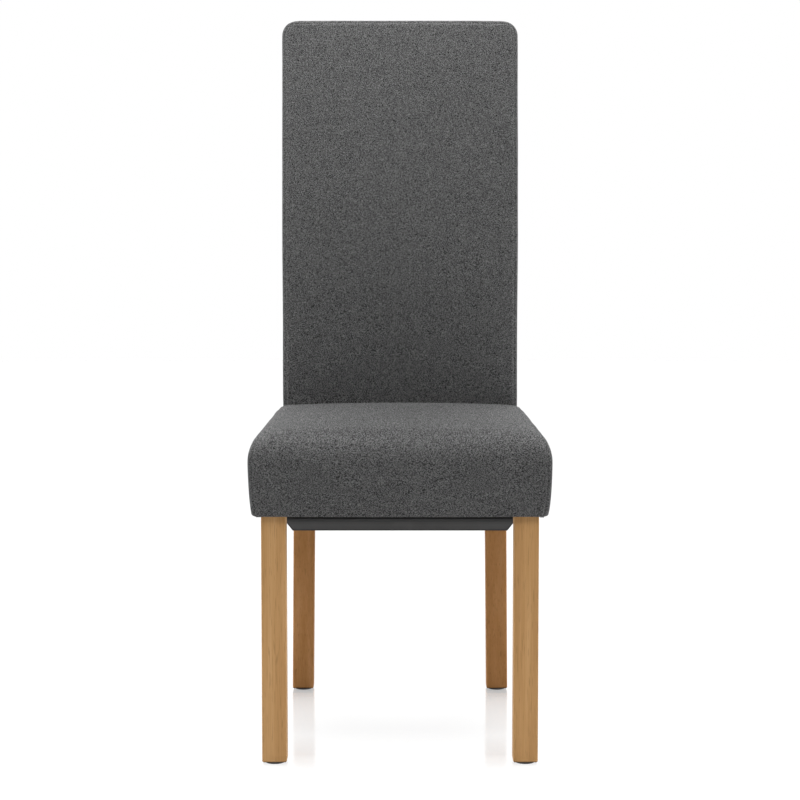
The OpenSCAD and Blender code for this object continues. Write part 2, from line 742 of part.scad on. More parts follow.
module back_webbing() {
    reach = stile_out - strap_end_in;
    color(strap_brown) for (z = back_strap_zs)
        bent_bar(-reach, reach, z - strap_w / 2, z + strap_w / 2, front_pad_t - strap_t, front_pad_t);
}

// Height over which the back's swell grows above the seat, and the radius of its soft pieces' inner corners
swell_h = 200;
inner_corner_r = 2;
// One level of the back's outline: inset from its sides, and from its front and rear faces
function back_ring(z, side_in, front_off, rear_off, r1, r2) =
    let (
        swell = back_crown * pow(sin(90 * min(1, max(0, z - seat_h) / swell_h)), 2),
        half = back_half(z) - side_in)
    [for (p = soft_outline(half, half, back_face(z) + front_off, back_face(z) + rear_off, r1, r2, swell))
        [p.x, p.y, z]];

// Inset of a quarter round of radius r that ends at height top
function round_inset(z, top, r) = z > top - r ? r - sqrt(max(0, r * r - pow(z - top + r, 2))) : 0;

// Inset of the same round where it is made of flats that meet at top_turns
top_turns = [25, 48, 70, 90];
function flat_inset(z, top, r) =
    lookup(z, [for (a = concat([0], top_turns)) [top - r + r * sin(a), r - r * cos(a)]]);

// Levels of the back at a distance inside its outer face, from a lower height to the rounded top
function back_levels(skin, rear_off, low) =
    let (top = overall_h - skin, turn = back_corner_r - skin, edge = back_edge_r - skin,
        zs = concat(bends(low, top - turn), [for (a = top_turns) top - turn + turn * sin(a)]))
    [for (z = zs) let (x_in = round_inset(z, top, turn), y_in = round_inset(z, top, edge))
        back_ring(z, skin + x_in, skin + y_in, rear_off - y_in, edge, edge)];
function back_tip(skin) = [0, back_face(overall_h) + back_t / 2, overall_h - skin];

module back_cover() {
    r = back_fold_r;
    z1 = back_bottom + cloth_t;
    inner = reversed(concat(
        [back_fold_ring(z1), back_ring(z1, r, r, back_t - r, r, r)],
        back_levels(cloth_t, back_t - cloth_t, z1 + r)));
    outer = concat(
        [back_fold_ring(back_bottom)],
        [for (a = [0, 45]) let (d = r * (1 - sin(a)))
            back_ring(back_bottom + r * (1 - cos(a)), d, d, back_t - d, r, r)],
        back_levels(0, back_t, back_bottom + r));
    color(charcoal) difference() {
        loft(concat(inner, outer), back_tip(cloth_t), back_tip(0));
        seat_bolt_holes();
    }
}
// The cloth's inner edge under the panel's lower end
function back_fold_ring(z) =
    back_ring(z, back_side_fold, back_face_fold, back_t - back_face_fold, inner_corner_r, inner_corner_r);

// Foam over the front of the back frame, turned over the frame's top
module back_front_foam() {
    skin = cloth_t + soft_fit;
    behind = front_pad_t - strap_t - soft_fit;
    step = 0.01;
    over_top = frame_top + soft_fit;
    lower = [for (ring = back_levels(skin, behind, pad_z)) if (ring[0].z < over_top) ring];
    upper = [for (ring = back_levels(skin, cover_rear_off, pad_z)) if (ring[0].z > over_top) ring];
    shoulder_in = skin + flat_inset(over_top, overall_h - skin, back_corner_r - skin);
    r = back_edge_r - skin;
    color(foam_cream) difference() {
        loft(concat(
                lower,
                [back_ring(over_top, shoulder_in, skin, behind, r, inner_corner_r)],
                [back_ring(over_top + step, shoulder_in, skin, cover_rear_off, r, r)],
                upper),
            [0, back_face(pad_z) + (skin + behind) / 2, pad_z],
            back_tip(skin));
        seat_bolt_holes();
    }
}

module back_side_foam(side) {
    top = frame_top - back_corner_r;
    x1 = stile_out + soft_fit;
    x2 = back_half(back_bottom) - cloth_t - soft_fit;
    color(foam_cream) bent_bar(
        side > 0 ? x1 : -x2, side > 0 ? x2 : -x1,
        pad_z, top, front_pad_t, min(rear_pad_off - soft_fit, back_t - cloth_t - back_edge_r));
}

module back_rear_padding() {
    half = back_half(back_bottom) - cloth_t - back_edge_r;
    color(foam_cream) bent_bar(-half, half, pad_z, frame_top, rear_pad_off, cover_rear_off);
}

// The bevelled block that closes the back's lower end
lip_top = block_top - block_gap_h;
bevel_top = lip_top - block_lip_h;
block_low_half = stile_out + block_rim;

// Half of the block's outline: out to a lip, in along the bevel; low is the outline's place at its underside
function block_side(lip, low) =
    let (e = 0.8)
    [[lip - block_gap_d, block_top], [lip - block_gap_d, lip_top], [lip - e, lip_top], [lip, lip_top - e],
        [lip, bevel_top + e], [lip - e, bevel_top], [low + e, block_bottom + e], [low, block_bottom]];

module back_base_block() {
    across = block_side(back_half(back_bottom) - block_inset, block_low_half);
    along = block_side(back_t / 2 - block_inset, back_leg_w / 2 + block_rim);
    hole = back_leg_w + 2 * hole_fit;
    color(block_grey) difference() {
        intersection() {
            translate([0, post_mid_y + back_t, 0]) rotate([90, 0, 0]) linear_extrude(2 * back_t)
                polygon(concat(across, mirrored(across)));
            translate([-seat_w / 2, post_mid_y, 0]) rotate([90, 0, 90]) linear_extrude(seat_w)
                polygon(concat(along, mirrored(along)));
        }
        for (side = [-1, 1]) translate([side * post_mid_x, post_mid_y, block_bottom])
            cube([hole, hole, 4 * (block_top - block_bottom)], center = true);
        base_screws(hole_fit);
    }
}

// Screws up through the block into the bottom rail
base_screw_count = 4;
base_screw_xs = [for (i = [1 : base_screw_count])
    2 * stile_in * (i / (base_screw_count + 1) - 0.5)];
module base_screws(spare) {
    y = back_y + cross_rail_off + cross_rail_d / 2;
    for (x = base_screw_xs) translate([x, y, block_bottom])
        wood_screw(block_top - block_bottom + cloth_t, cross_rail_h * 0.6, spare);
}

module base_block_screws() {
    color(near_black) base_screws(0);
}

front_leg(1);  // front_leg_left
front_leg(-1);  // front_leg_right
back_post(1);  // back_post_left
back_post(-1);  // back_post_right
glides();
seat_front_rail();
seat_rear_rail();
seat_side_rail(1);  // seat_side_rail_left
seat_side_rail(-1);  // seat_side_rail_right
corner_block_front(1);  // corner_block_front_left
corner_block_front(-1);  // corner_block_front_right
corner_block_rear(1);  // corner_block_rear_left
corner_block_rear(-1);  // corner_block_rear_right
seat_frame_dowels();
corner_block_screws();
leg_hanger_bolts();
leg_washers();
leg_nuts();
seat_webbing_lengthwise();
seat_webbing_crosswise();
seat_foam();
seat_cover();
dust_cover();
cross_rail(top_rail_z);  // back_top_rail
cross_rail(middle_rail_z);  // back_middle_rail
cross_rail(lumbar_rail_z);  // back_lumbar_rail
cross_rail(bottom_rail_z);  // back_bottom_rail
back_frame_dowels();
back_webbing();
back_front_foam();
back_side_foam(1);  // back_side_foam_left
back_side_foam(-1);  // back_side_foam_right
back_rear_padding();
back_cover();
back_base_block();
base_block_screws();
seat_back_bolts();
seat_back_washers();
threaded_inserts();
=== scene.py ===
"""Upholstered high-back dining chair: the looks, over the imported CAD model. Metres, +Z up."""
import json
import math
import random

import bmesh
import bpy
import numpy as np
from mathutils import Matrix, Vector, kdtree, noise
from mathutils.bvhtree import BVHTree


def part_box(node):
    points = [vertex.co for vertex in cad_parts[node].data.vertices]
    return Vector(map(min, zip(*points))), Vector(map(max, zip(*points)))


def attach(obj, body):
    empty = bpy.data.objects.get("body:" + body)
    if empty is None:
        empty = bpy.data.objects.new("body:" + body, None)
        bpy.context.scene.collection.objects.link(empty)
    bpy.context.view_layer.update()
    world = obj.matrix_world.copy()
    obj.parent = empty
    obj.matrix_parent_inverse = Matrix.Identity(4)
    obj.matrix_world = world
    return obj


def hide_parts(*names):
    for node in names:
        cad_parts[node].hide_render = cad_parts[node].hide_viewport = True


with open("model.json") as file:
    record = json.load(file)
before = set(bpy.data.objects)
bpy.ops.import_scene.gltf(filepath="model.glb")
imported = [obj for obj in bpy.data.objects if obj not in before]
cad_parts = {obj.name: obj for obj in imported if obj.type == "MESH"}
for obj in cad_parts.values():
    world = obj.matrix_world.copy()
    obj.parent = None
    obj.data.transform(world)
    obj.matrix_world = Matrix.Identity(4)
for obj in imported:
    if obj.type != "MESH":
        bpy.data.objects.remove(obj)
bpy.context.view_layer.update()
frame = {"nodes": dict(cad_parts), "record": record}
NODES = frame["nodes"]
scene = bpy.context.scene
random.seed(7)

# Sizes that the CAD's boxes don't give, in metres, as in the part's source
SEAT_TAPER = 0.008
SEAT_ROLL = 0.042
SIDE_ROLL = 0.028
SEAT_CROWN = 0.004
SEAT_DRAW = 0.0045
SEAT_BOW = 0.003
SEAT_CORNER = 0.015
REAR_CORNER = 0.002
SEAT_FOLD = 0.020
BACK_LOW_W = 0.372
BACK_TOP_W = 0.380
BACK_T = 0.056
BACK_SWEEP = 0.088
BEND_Z = 0.420
BACK_CORNER = 0.024
BACK_EDGE = 0.009
BACK_CROWN = 0.004
BACK_FOLD_R = 0.005
CLOTH_T = 0.0016
BLOCK_GAP = 0.003
BLOCK_LIP = 0.0045
BLOCK_SLANT = 0.0125

seat_lo, seat_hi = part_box("seat_cover")
back_lo, back_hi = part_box("back_cover")
SEAT_HALF = seat_hi.x
FRONT_Y = seat_lo.y
REAR_Y = seat_hi.y
COVER_Z = seat_lo.z
SEAT_H = seat_hi.z
ROLL_Z = SEAT_H - SEAT_CROWN - SEAT_ROLL
BACK_Y = back_lo.y
TOP_Z = back_hi.z
BACK_Z = back_lo.z
LEG_FOOT_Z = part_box("front_leg_left")[0].z


# ---------------------------------------------------------------- materials
class Graph:
    """A material's node tree, built with short calls."""

    def __init__(self, name):
        self.mat = bpy.data.materials.new(name)
        self.mat.use_nodes = True
        self.tree = self.mat.node_tree
        self.tree.nodes.clear()
        self.out = self.add("ShaderNodeOutputMaterial")
        self.where = self.add("ShaderNodeTexCoord").outputs["Object"]

    def add(self, kind, inputs=(), **props):
        n = self.tree.nodes.new(kind)
        for k, v in props.items():
            setattr(n, k, v)
        for k, v in dict(inputs).items():
            self.put(n.inputs[k], v)
        return n

    def put(self, socket, value):
        if isinstance(value, bpy.types.NodeSocket):
            self.tree.links.new(value, socket)
        else:
            socket.default_value = value

    def noise(self, scale, detail=2.0, rough=0.5, stretch=None, distort=0.0, offset=(0, 0, 0)):
        at = self.where
        if stretch or offset != (0, 0, 0):
            at = self.add("ShaderNodeMapping", {
                "Vector": at, "Scale": stretch or (1, 1, 1), "Location": offset}).outputs[0]
        return self.add("ShaderNodeTexNoise", {
            "Vector": at, "Scale": scale, "Detail": detail, "Roughness": rough,
            "Distortion": distort}).outputs["Fac"]

    def axis(self, i):
        """The object's own X, Y or Z."""
        return self.add("ShaderNodeSeparateXYZ", {0: self.where}).outputs[i]

    def step(self, value, start, end, low=0.0, high=1.0):
        """From low, where the value is at start, to high at its end; flat beyond both."""
        return self.add("ShaderNodeMapRange", {
            "Value": value, "From Min": start, "From Max": end, "To Min": low, "To Max": high}).outputs[0]

    def math(self, op, a, b=0.0, clamp=False):
        return self.add("ShaderNodeMath", {0: a, 1: b}, operation=op, use_clamp=clamp).outputs[0]

    def blend(self, f, a, b):
        return self.math("ADD", self.math("MULTIPLY", a, 1 - f), self.math("MULTIPLY", b, f))

    def ramp(self, fac, stops):
        n = self.add("ShaderNodeValToRGB", {"Fac": fac})
        while len(n.color_ramp.elements) < len(stops):
            n.color_ramp.elements.new(0.5)
        for e, (at, c) in zip(n.color_ramp.elements, stops):
            e.position = at
            e.color = (*c, 1) if hasattr(c, "__len__") else (c, c, c, 1)
        return n.outputs["Color"]

    def mix(self, fac, a, b, kind="MIX"):
        n = self.add("ShaderNodeMix", data_type="RGBA", blend_type=kind)
        for i, v in ((0, fac), (6, a), (7, b)):
            if isinstance(v, tuple) and len(v) == 3:
                v = (*v, 1)
            self.put(n.inputs[i], v)
        return n.outputs[2]

    def bump(self, height, distance, strength):
        return self.add("ShaderNodeBump", {
            "Height": height, "Distance": distance, "Strength": strength}).outputs[0]

    def surface(self, **inputs):
        p = self.add("ShaderNodeBsdfPrincipled")
        for k, v in inputs.items():
            v = (*v, 1) if isinstance(v, tuple) and len(v) == 3 else v
            self.put(p.inputs[k.replace("_", " ")], v)
        self.put(self.out.inputs["Surface"], p.outputs[0])
        return self.mat


def felt(name, low, mid, high, nap_run, brush_from, brush_to, middle=1.0, side=1.0):
    """Melange felt cloth: short pale and dark fibres lying every way, with a soft nap that runs along
    Y and is brushed up more and more from one height to the other, with a painted highlight on the way.
    On top, painted shade darkens the middle and painted light lightens the sides."""
    g = Graph(name)
    up = g.axis(2)
    brushed = g.step(up, brush_from, brush_to)
    specks = g.noise(960, 1.0, 0.5, stretch=(1.0, 1.0, 1.55))
    fine = g.noise(1500, 1.0, 0.6, stretch=(1.0, 1.0, 1.45), offset=(2.7, 6.1, 0.9))
    curls = g.noise(800, 1.0, 0.5, stretch=(1.0, 0.6, 1.05), distort=0.6, offset=(3.1, 0.4, 1.7))
    nap = g.noise(860, 1.0, 0.5, stretch=(1.0, nap_run, 1.55), distort=0.4, offset=(0.7, 5.2, 2.3))
    patches = g.noise(45, 2.0, 0.5, offset=(8.0, 1.0, 4.0))
    nap_gain = g.math("ADD", g.math("MULTIPLY", brushed, 2.0), 0.4)
    fac = 0.0
    for layer, gain in ((specks, 2.1), (fine, 1.5), (curls, 1.1), (nap, nap_gain), (patches, 0.08)):
        fac = g.math("ADD", fac, g.math("MULTIPLY", g.math("SUBTRACT", layer, 0.5), gain))
    contrast = g.math("SUBTRACT", 1.58, g.math("MULTIPLY", brushed, 0.48))
    fac = g.math("ADD", g.math("MULTIPLY", fac, contrast), 0.5, clamp=True)
    colour = g.ramp(fac, [(0.22, low), (0.5, mid), (0.80, high)])
    # Painted shade and light on the seat's top: darker in the middle, lighter towards the sides.
    outward = g.math("POWER", g.math("ABSOLUTE", g.math("DIVIDE", g.axis(0), SEAT_HALF)), 2.0)
    pressed = g.step(up, brush_to + 0.006, brush_to + 0.013)
    shade = g.math("ADD", g.math("MULTIPLY", outward, side - middle), middle - 1.0)
    shade = g.math("ADD", g.math("MULTIPLY", shade, pressed), 1.0)
    # A painted highlight in a band up to just above the upper brushing height: the seat's front roll and the
    # back's top edge.
    raised = g.math("SUBTRACT", 1.0, g.step(up, brush_to - 0.001, brush_to + 0.013))
    raised = g.math("MULTIPLY", brushed, raised)
    shade = g.math("MULTIPLY", shade, g.math("ADD", g.math("MULTIPLY", raised, 0.14), 1.0))
    colour = g.mix(1.0, colour, shade, "MULTIPLY")
    lint = g.noise(1700, 2.0, 0.6)
    height = g.blend(0.35, fac, lint)
    return g.surface(
        Base_Color=colour, Roughness=0.92, Specular_IOR_Level=0.06,
        Sheen_Weight=0.10, Sheen_Roughness=0.42, Sheen_Tint=(0.92, 0.93, 0.95),
        Normal=g.bump(height, 0.0016, 0.8))


def oak(name, dark, mid, pale, seed=0.0):
    """Light oak, its grain along Z: broad bands, fine fibres, short dark pores, satin lacquer,
    and painted shade on the lowest millimetre of the leg, at the floor."""
    g = Graph(name)
    o = (seed, seed * 1.7, seed * 0.6)
    warp = g.noise(5.0, 2.0, 0.5, stretch=(1, 1, 0.35), offset=o)
    bands = g.noise(46, 3.0, 0.6, stretch=(1, 1, 0.045), distort=0.5, offset=o)
    fibres = g.noise(520, 2.0, 0.6, stretch=(1, 1, 0.02), offset=o)
    pores = g.noise(900, 1.0, 0.4, stretch=(1, 1, 0.045), offset=(o[0] + 4, o[1], o[2]))
    fac = g.blend(0.12, g.blend(0.30, bands, fibres), warp)
    colour = g.ramp(fac, [(0.34, dark), (0.5, mid), (0.66, pale)])
    pore = g.ramp(pores, [(0.64, 0.0), (0.72, 1.0)])
    flecks = g.ramp(g.noise(210, 1.0, 0.4, stretch=(1, 1, 0.12), offset=(o[0], o[1] + 9, o[2])),
                    [(0.70, 0.0), (0.76, 1.0)])
    marks = g.math("MULTIPLY", g.math("MAXIMUM", pore, flecks), 0.34)
    colour = g.mix(marks, colour, tuple(c * 0.42 for c in dark))
    # Painted shade on the lowest millimetre of the leg, at the floor.
    painted_foot_shade = g.step(g.axis(2), LEG_FOOT_Z + 0.0011, LEG_FOOT_Z + 0.0017, 0.25)
    colour = g.mix(1.0, colour, painted_foot_shade, "MULTIPLY")
    height = g.math("SUBTRACT", g.math("MULTIPLY", fibres, 0.35), g.math("MULTIPLY", pore, 0.8))
    rough = g.math("ADD", g.math("MULTIPLY", fibres, 0.12), 0.46)
    return g.surface(
        Base_Color=colour, Roughness=rough, Specular_IOR_Level=0.08,
        Normal=g.bump(height, 0.00018, 0.6))


def softwood(name):
    """Planed pale softwood of a hidden frame."""
    g = Graph(name)
    rings = g.noise(34, 2.0, 0.5, stretch=(0.12, 1, 1), distort=0.8)
    fibres = g.noise(420, 2.0, 0.6, stretch=(0.04, 1, 1))
    fac = g.blend(0.35, rings, fibres)
    colour = g.ramp(fac, [(0.36, (0.50, 0.35, 0.19)), (0.5, (0.61, 0.46, 0.27)), (0.64, (0.68, 0.54, 0.34))])
    return g.surface(Base_Color=colour, Roughness=0.72, Normal=g.bump(fac, 0.0003, 0.5))


def paint(name, low, high):
    """Satin paint with a faint roller texture, and painted light and shade: lightest low on the bevel and
    darker up to the lip and at the bottom, a black painted shadow line in the gap over the lip, and painted
    shade along the lip's underside, the lower edge and the slanted ends."""
    lo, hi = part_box("back_base_block")
    g = Graph(name)
    x, z = g.math("ABSOLUTE", g.axis(0)), g.axis(2)
    gap, lip = hi.z - BLOCK_GAP, hi.z - BLOCK_GAP - BLOCK_LIP
    middle = lo.z + 0.6 * (lip - lo.z)
    # Painted light and shade: lightest low on the bevel, darker up to the lip and towards the bottom.
    shade = g.math("MULTIPLY", g.step(z, middle, lip, 1.42, 0.86), g.step(z, lo.z, middle, 0.90, 1.0))
    # Painted shade along the lower edge.
    shade = g.math("MULTIPLY", shade, g.step(z, lo.z + 0.0012, lo.z + 0.0034, 0.35, 1.0))
    # Painted shade on the lip.
    shade = g.math("MULTIPLY", shade, g.step(z, lip - 0.0002, lip + 0.0002, 1.0, 0.84))
    # A painted shadow line under the lip.
    under = g.math("ABSOLUTE", g.math("SUBTRACT", z, lip + 0.0005))
    shade = g.math("MULTIPLY", shade, g.step(under, 0.0005, 0.0015, 0.30, 1.0))
    # A black painted shadow line in the gap under the seat's hem.
    line = g.math("ABSOLUTE", g.math("SUBTRACT", z, gap + 0.0006))
    shade = g.math("MULTIPLY", shade, g.step(line, 0.0007, 0.0012, 0.10, 1.0))
    # Painted shade along the slanted ends.
    slope = BLOCK_SLANT / (lip - lo.z)
    end = g.math("ADD", g.math("MULTIPLY", g.math("SUBTRACT", z, lip), slope), hi.x)
    inside = g.math("SUBTRACT", end, x)
    shade = g.math("MULTIPLY", shade, g.step(inside, 0.0012, 0.0034, 0.30, 1.0))
    peel = g.noise(700, 2.0, 0.5)
    haze = g.noise(18, 3.0, 0.6)
    colour = g.mix(1.0, g.ramp(haze, [(0.35, low), (0.65, high)]), shade, "MULTIPLY")
    rough = g.math("ADD", g.math("MULTIPLY", haze, 0.14), 0.42)
    return g.surface(Base_Color=colour, Roughness=rough, Specular_IOR_Level=0.30,
                     Normal=g.bump(peel, 0.00015, 0.4))


def plastic(name):
    """Black moulded plastic with a fine spark-eroded grain."""
    g = Graph(name)
    grain = g.noise(1400, 2.0, 0.6)
    colour = g.ramp(g.noise(60, 2.0), [(0.3, (0.012, 0.011, 0.010)), (0.7, (0.020, 0.018, 0.017))])
    return g.surface(Base_Color=colour, Roughness=0.55, Normal=g.bump(grain, 0.0002, 0.5))


def steel(name, low, high, rough):
    """Plated steel with faint turning marks."""
    g = Graph(name)
    marks = g.noise(900, 2.0, 0.6, stretch=(1, 1, 0.15))
    colour = g.ramp(marks, [(0.35, low), (0.65, high)])
    r = g.math("ADD", g.math("MULTIPLY", marks, 0.15), rough)
    return g.surface(Base_Color=colour, Metallic=1.0, Roughness=r, Normal=g.bump(marks, 0.00008, 0.5))


def foam(name):
    """Cream open-cell foam."""
    g = Graph(name)
    cells = g.add("ShaderNodeTexVoronoi", {"Vector": g.where, "Scale": 520.0}).outputs["Distance"]
    colour = g.ramp(g.blend(0.5, cells, g.noise(40)), [(0.2, (0.62, 0.55, 0.38)), (0.7, (0.83, 0.77, 0.60))])
    return g.surface(Base_Color=colour, Roughness=0.95, Specular_IOR_Level=0.1,
                     Normal=g.bump(cells, 0.0012, 0.7))


RIB_PITCH = 0.0022


def webbing(name):
    """Woven elastic strap, with fine ribs both ways."""
    g = Graph(name)
    ribs = [g.math("SINE", g.math("MULTIPLY", g.axis(i), 2 * math.pi / RIB_PITCH)) for i in range(3)]
    weave = g.math("MULTIPLY", g.math("ADD", ribs[0], ribs[1]), ribs[2])
    weave = g.math("ADD", weave, g.math("MULTIPLY", ribs[0], ribs[1]))
    colour = g.ramp(g.blend(0.5, g.math("ADD", g.math("MULTIPLY", weave, 0.2), 0.5), g.noise(300)),
                    [(0.3, (0.10, 0.065, 0.035)), (0.7, (0.25, 0.17, 0.10))])
    return g.surface(Base_Color=colour, Roughness=0.85, Specular_IOR_Level=0.2,
                     Normal=g.bump(weave, 0.0003, 0.6))


def nonwoven(name):
    """Thin black non-woven cloth with its pressed grid of dimples."""
    g = Graph(name)
    dots = g.add("ShaderNodeTexVoronoi", {"Vector": g.where, "Scale": 380.0, "Randomness": 0.15})
    dimple = g.ramp(dots.outputs["Distance"], [(0.15, 0.0), (0.45, 1.0)])
    fluff = g.noise(240, 3.0, 0.7)
    colour = g.ramp(g.blend(0.4, fluff, dimple), [(0.3, 0.006), (0.7, 0.020)])
    return g.surface(Base_Color=colour, Roughness=0.9, Specular_IOR_Level=0.2,
                     Normal=g.bump(g.blend(0.5, fluff, dimple), 0.0006, 0.6))


def thread(name):
    """Dark twisted sewing thread."""
    g = Graph(name)
    twist = g.noise(2600, 1.0, 0.5, stretch=(1, 1, 0.5))
    colour = g.ramp(twist, [(0.3, 0.020), (0.7, 0.055)])
    return g.surface(Base_Color=colour, Roughness=0.7, Normal=g.bump(twist, 0.0002, 0.5))


NAP_TOP_Z = SEAT_H - SEAT_CROWN - 0.012
# Painted light: the seat's felt is a lighter copy of the back's; middle and side set its painted top shade
# and light.
FELT_SEAT_PAINTED_LIGHT = felt("felt_seat_painted_light", 0.020, 0.083, 0.258, 0.17, ROLL_Z, NAP_TOP_Z, middle=0.785, side=1.05)
# Painted highlight along the back's top edge, from brush_from to brush_to.
FELT_BACK = felt("felt_back", 0.018, 0.075, 0.243, 0.45, TOP_Z - 0.008, TOP_Z)
OAK_FRONT = oak("oak_front", (0.42, 0.225, 0.085), (0.52, 0.295, 0.122), (0.60, 0.36, 0.165), 0.3)
# Painted shade: the rear legs' oak is a darker, redder copy of the front legs' oak.
OAK_REAR_SHADED = oak("oak_rear_painted_shade", (0.375, 0.176, 0.058), (0.455, 0.222, 0.081), (0.525, 0.272, 0.110), 2.1)
RAW = softwood("raw_softwood")
BLOCK = paint("block_paint", 0.034, 0.043)
GLIDE = plastic("glide_plastic")
ZINC = steel("zinc_steel", (0.52, 0.53, 0.55), (0.66, 0.67, 0.70), 0.28)
BLACK = steel("black_steel", (0.020, 0.020, 0.022), (0.040, 0.040, 0.043), 0.38)
FOAM = foam("cream_foam")
STRAP = webbing("strap_web")
DUST = nonwoven("dust_cloth")
THREAD = thread("seam_thread")

CAD_MATERIALS = {
    "leg_wood": OAK_FRONT, "frame_wood": RAW, "block_paint": BLOCK, "glide_plastic": GLIDE,
    "zinc_steel": ZINC, "black_steel": BLACK}
for part in frame["record"]["subparts"]:
    mat = CAD_MATERIALS.get(part["material_slot"])
    # Painted shade: the rear posts get the darker copy of the oak.
    if part["node"].startswith("back_post"):
        mat = OAK_REAR_SHADED
    if mat:
        for s in NODES[part["node"]].material_slots:
            s.material = mat


# ---------------------------------------------------------------- mesh helpers
def make(name, verts, faces, mat):
    """A new smooth-shaded piece with its material and slot."""
    me = bpy.data.meshes.new(name)
    me.from_pydata([tuple(v) for v in verts], [], faces)
    me.update()
    me.polygons.foreach_set("use_smooth", [True] * len(me.polygons))
    o = bpy.data.objects.new(name, me)
    scene.collection.objects.link(o)
    me.materials.append(mat)
    return o


def apply_modifiers(o):
    """Replaces the mesh with what its modifiers make of it."""
    dg = bpy.context.evaluated_depsgraph_get()
    me = bpy.data.meshes.new_from_object(o.evaluated_get(dg))
    old = o.data
    o.modifiers.clear()
    o.data = me
    bpy.data.meshes.remove(old)
    me.polygons.foreach_set("use_smooth", [True] * len(me.polygons))


def coords(o):
    a = np.empty(len(o.data.vertices) * 3)
    o.data.vertices.foreach_get("co", a)
    return a.reshape(-1, 3)


def set_coords(o, a):
    o.data.vertices.foreach_set("co", a.ravel())
    o.data.update()


def normals(o):
    a = np.empty(len(o.data.vertices) * 3)
    o.data.vertices.foreach_get("normal", a)
    return a.reshape(-1, 3)


# The cloth simulation: its length, and for the seat and the back its pressure and how far it may swell them
PUFF_FRAMES = 20
SEAT_PRESSURE, SEAT_SWELL = 4.0, 0.0022
BACK_PRESSURE, BACK_SWELL = 3.0, 0.0018
# How far from its lower edge, and from the seat's rear, the cloth is held by its tacks
SEAT_TACKED, REAR_TACKED, BACK_TACKED = 0.014, 0.003, 0.03


def puff(o, held, pressure, cap):
    """Swells a padded piece with Blender's cloth between its held points. Each point moves outward
    only, since stiff seams and tacked edges keep the corners, and no further than cap."""
    group = o.vertex_groups.new(name="held")
    for i, w in enumerate(held):
        if w > 0:
            group.add([i], float(w), "REPLACE")
    m = o.modifiers.new("cloth", "CLOTH")
    s = m.settings
    s.quality = 4
    s.mass = 0.3
    s.tension_stiffness = s.compression_stiffness = 25
    s.shear_stiffness = 8
    s.bending_stiffness = 4
    s.use_pressure = True
    s.uniform_pressure_force = pressure
    s.effector_weights.gravity = 0
    s.vertex_group_mass = "held"
    m.collision_settings.use_collision = False
    m.point_cache.frame_start, m.point_cache.frame_end = 1, PUFF_FRAMES
    before = coords(o)
    for f in range(1, PUFF_FRAMES + 1):
        scene.frame_set(f)
    e = o.evaluated_get(bpy.context.evaluated_depsgraph_get())
    after = np.empty(len(e.data.vertices) * 3)
    e.data.vertices.foreach_get("co", after)
    n = normals(o)
    out = ((after.reshape(-1, 3) - before) * n).sum(axis=1, keepdims=True)
    out = (out + np.sqrt(out ** 2 + 0.003 ** 2)) / 2
    move = n * cap * np.tanh(out / (6 * cap)) * (1 - np.asarray(held)[:, None])
    o.modifiers.clear()
    o.vertex_groups.clear()
    set_coords(o, before + move)
    scene.frame_set(1)


def refine(o):
    """One subdivision, applied."""
    m = o.modifiers.new("fine", "SUBSURF")
    m.levels = m.render_levels = 1
    apply_modifiers(o)


def thicken(o, t):
    """Gives a cloth skin its thickness, inward."""
    m = o.modifiers.new("thick", "SOLIDIFY")
    m.thickness = t
    m.offset = -1
    apply_modifiers(o)


def snap(o, path):
    """The points of a path, moved onto the surface, with the surface's normals there."""
    tree = BVHTree.FromObject(o, bpy.context.evaluated_depsgraph_get())
    found = [tree.find_nearest(p) for p in path]
    return [(hit[0], hit[1]) for hit in found]


def even(path, step):
    """A polyline resampled at even steps."""
    out, left = [path[0]], step
    for a, b in zip(path, path[1:]):
        run = (b - a).length
        while run >= left:
            a = a + (b - a) * (left / run)
            run = (b - a).length
            out.append(a)
            left = step
            if run < 1e-9:
                break
        left -= run
    return out


def sew(o, paths, depth=0.0014, width=0.0016, puffed=0.0005):
    """Sinks a seam into the surface along each path, with the cloth raised a little beside it."""
    points = [p for path in paths for p in even(path, 0.001)]
    tree = kdtree.KDTree(len(points))
    for i, p in enumerate(points):
        tree.insert(p, i)
    tree.balance()
    a, n = coords(o), normals(o)
    reach, ridge_at, ridge_width = 0.014, 0.0055, 0.003
    for i, p in enumerate(a):
        d = tree.find(p)[2]
        if d < reach:
            wave = 0.85 + 0.3 * noise.noise(Vector(p) * 160)
            sunk = depth * math.exp(-(d / width) ** 2)
            ridge = puffed * wave * math.exp(-((d - ridge_at) / ridge_width) ** 2)
            a[i] += n[i] * (ridge - sunk)
    set_coords(o, a)


def stitches(name, o, paths, mat, pitch=0.0042, length=0.0027, r=0.00042, lift=0.0001):
    """Short rounded stitches along the paths, each a bent capsule lying on the surface."""
    verts, faces = [], []
    sides, rings = 6, 5
    for path in paths:
        spots = snap(o, even(path, pitch))
        for k in range(1, len(spots) - 1):
            p, n = spots[k]
            along = (spots[k + 1][0] - spots[k - 1][0]).normalized()
            across = n.cross(along).normalized()
            n = along.cross(across)
            base = len(verts)
            for j in range(rings):
                t = j / (rings - 1) * 2 - 1
                c = p + along * (t * length / 2) + n * (lift + r * 0.6 * (1 - t * t))
                rr = r * (0.35 + 0.65 * math.sqrt(max(0, 1 - t * t)))
                for i in range(sides):
                    w = 2 * math.pi * i / sides
                    verts.append(c + (across * math.cos(w) + n * math.sin(w)) * rr)
            for j in range(rings - 1):
                for i in range(sides):
                    a, b = base + j * sides + i, base + j * sides + (i + 1) % sides
                    faces.append((a, b, b + sides, a + sides))
            faces.append(tuple(base + i for i in reversed(range(sides))))
            faces.append(tuple(base + (rings - 1) * sides + i for i in range(sides)))
    s = make(name, verts, faces, mat)
    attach(s, "root")


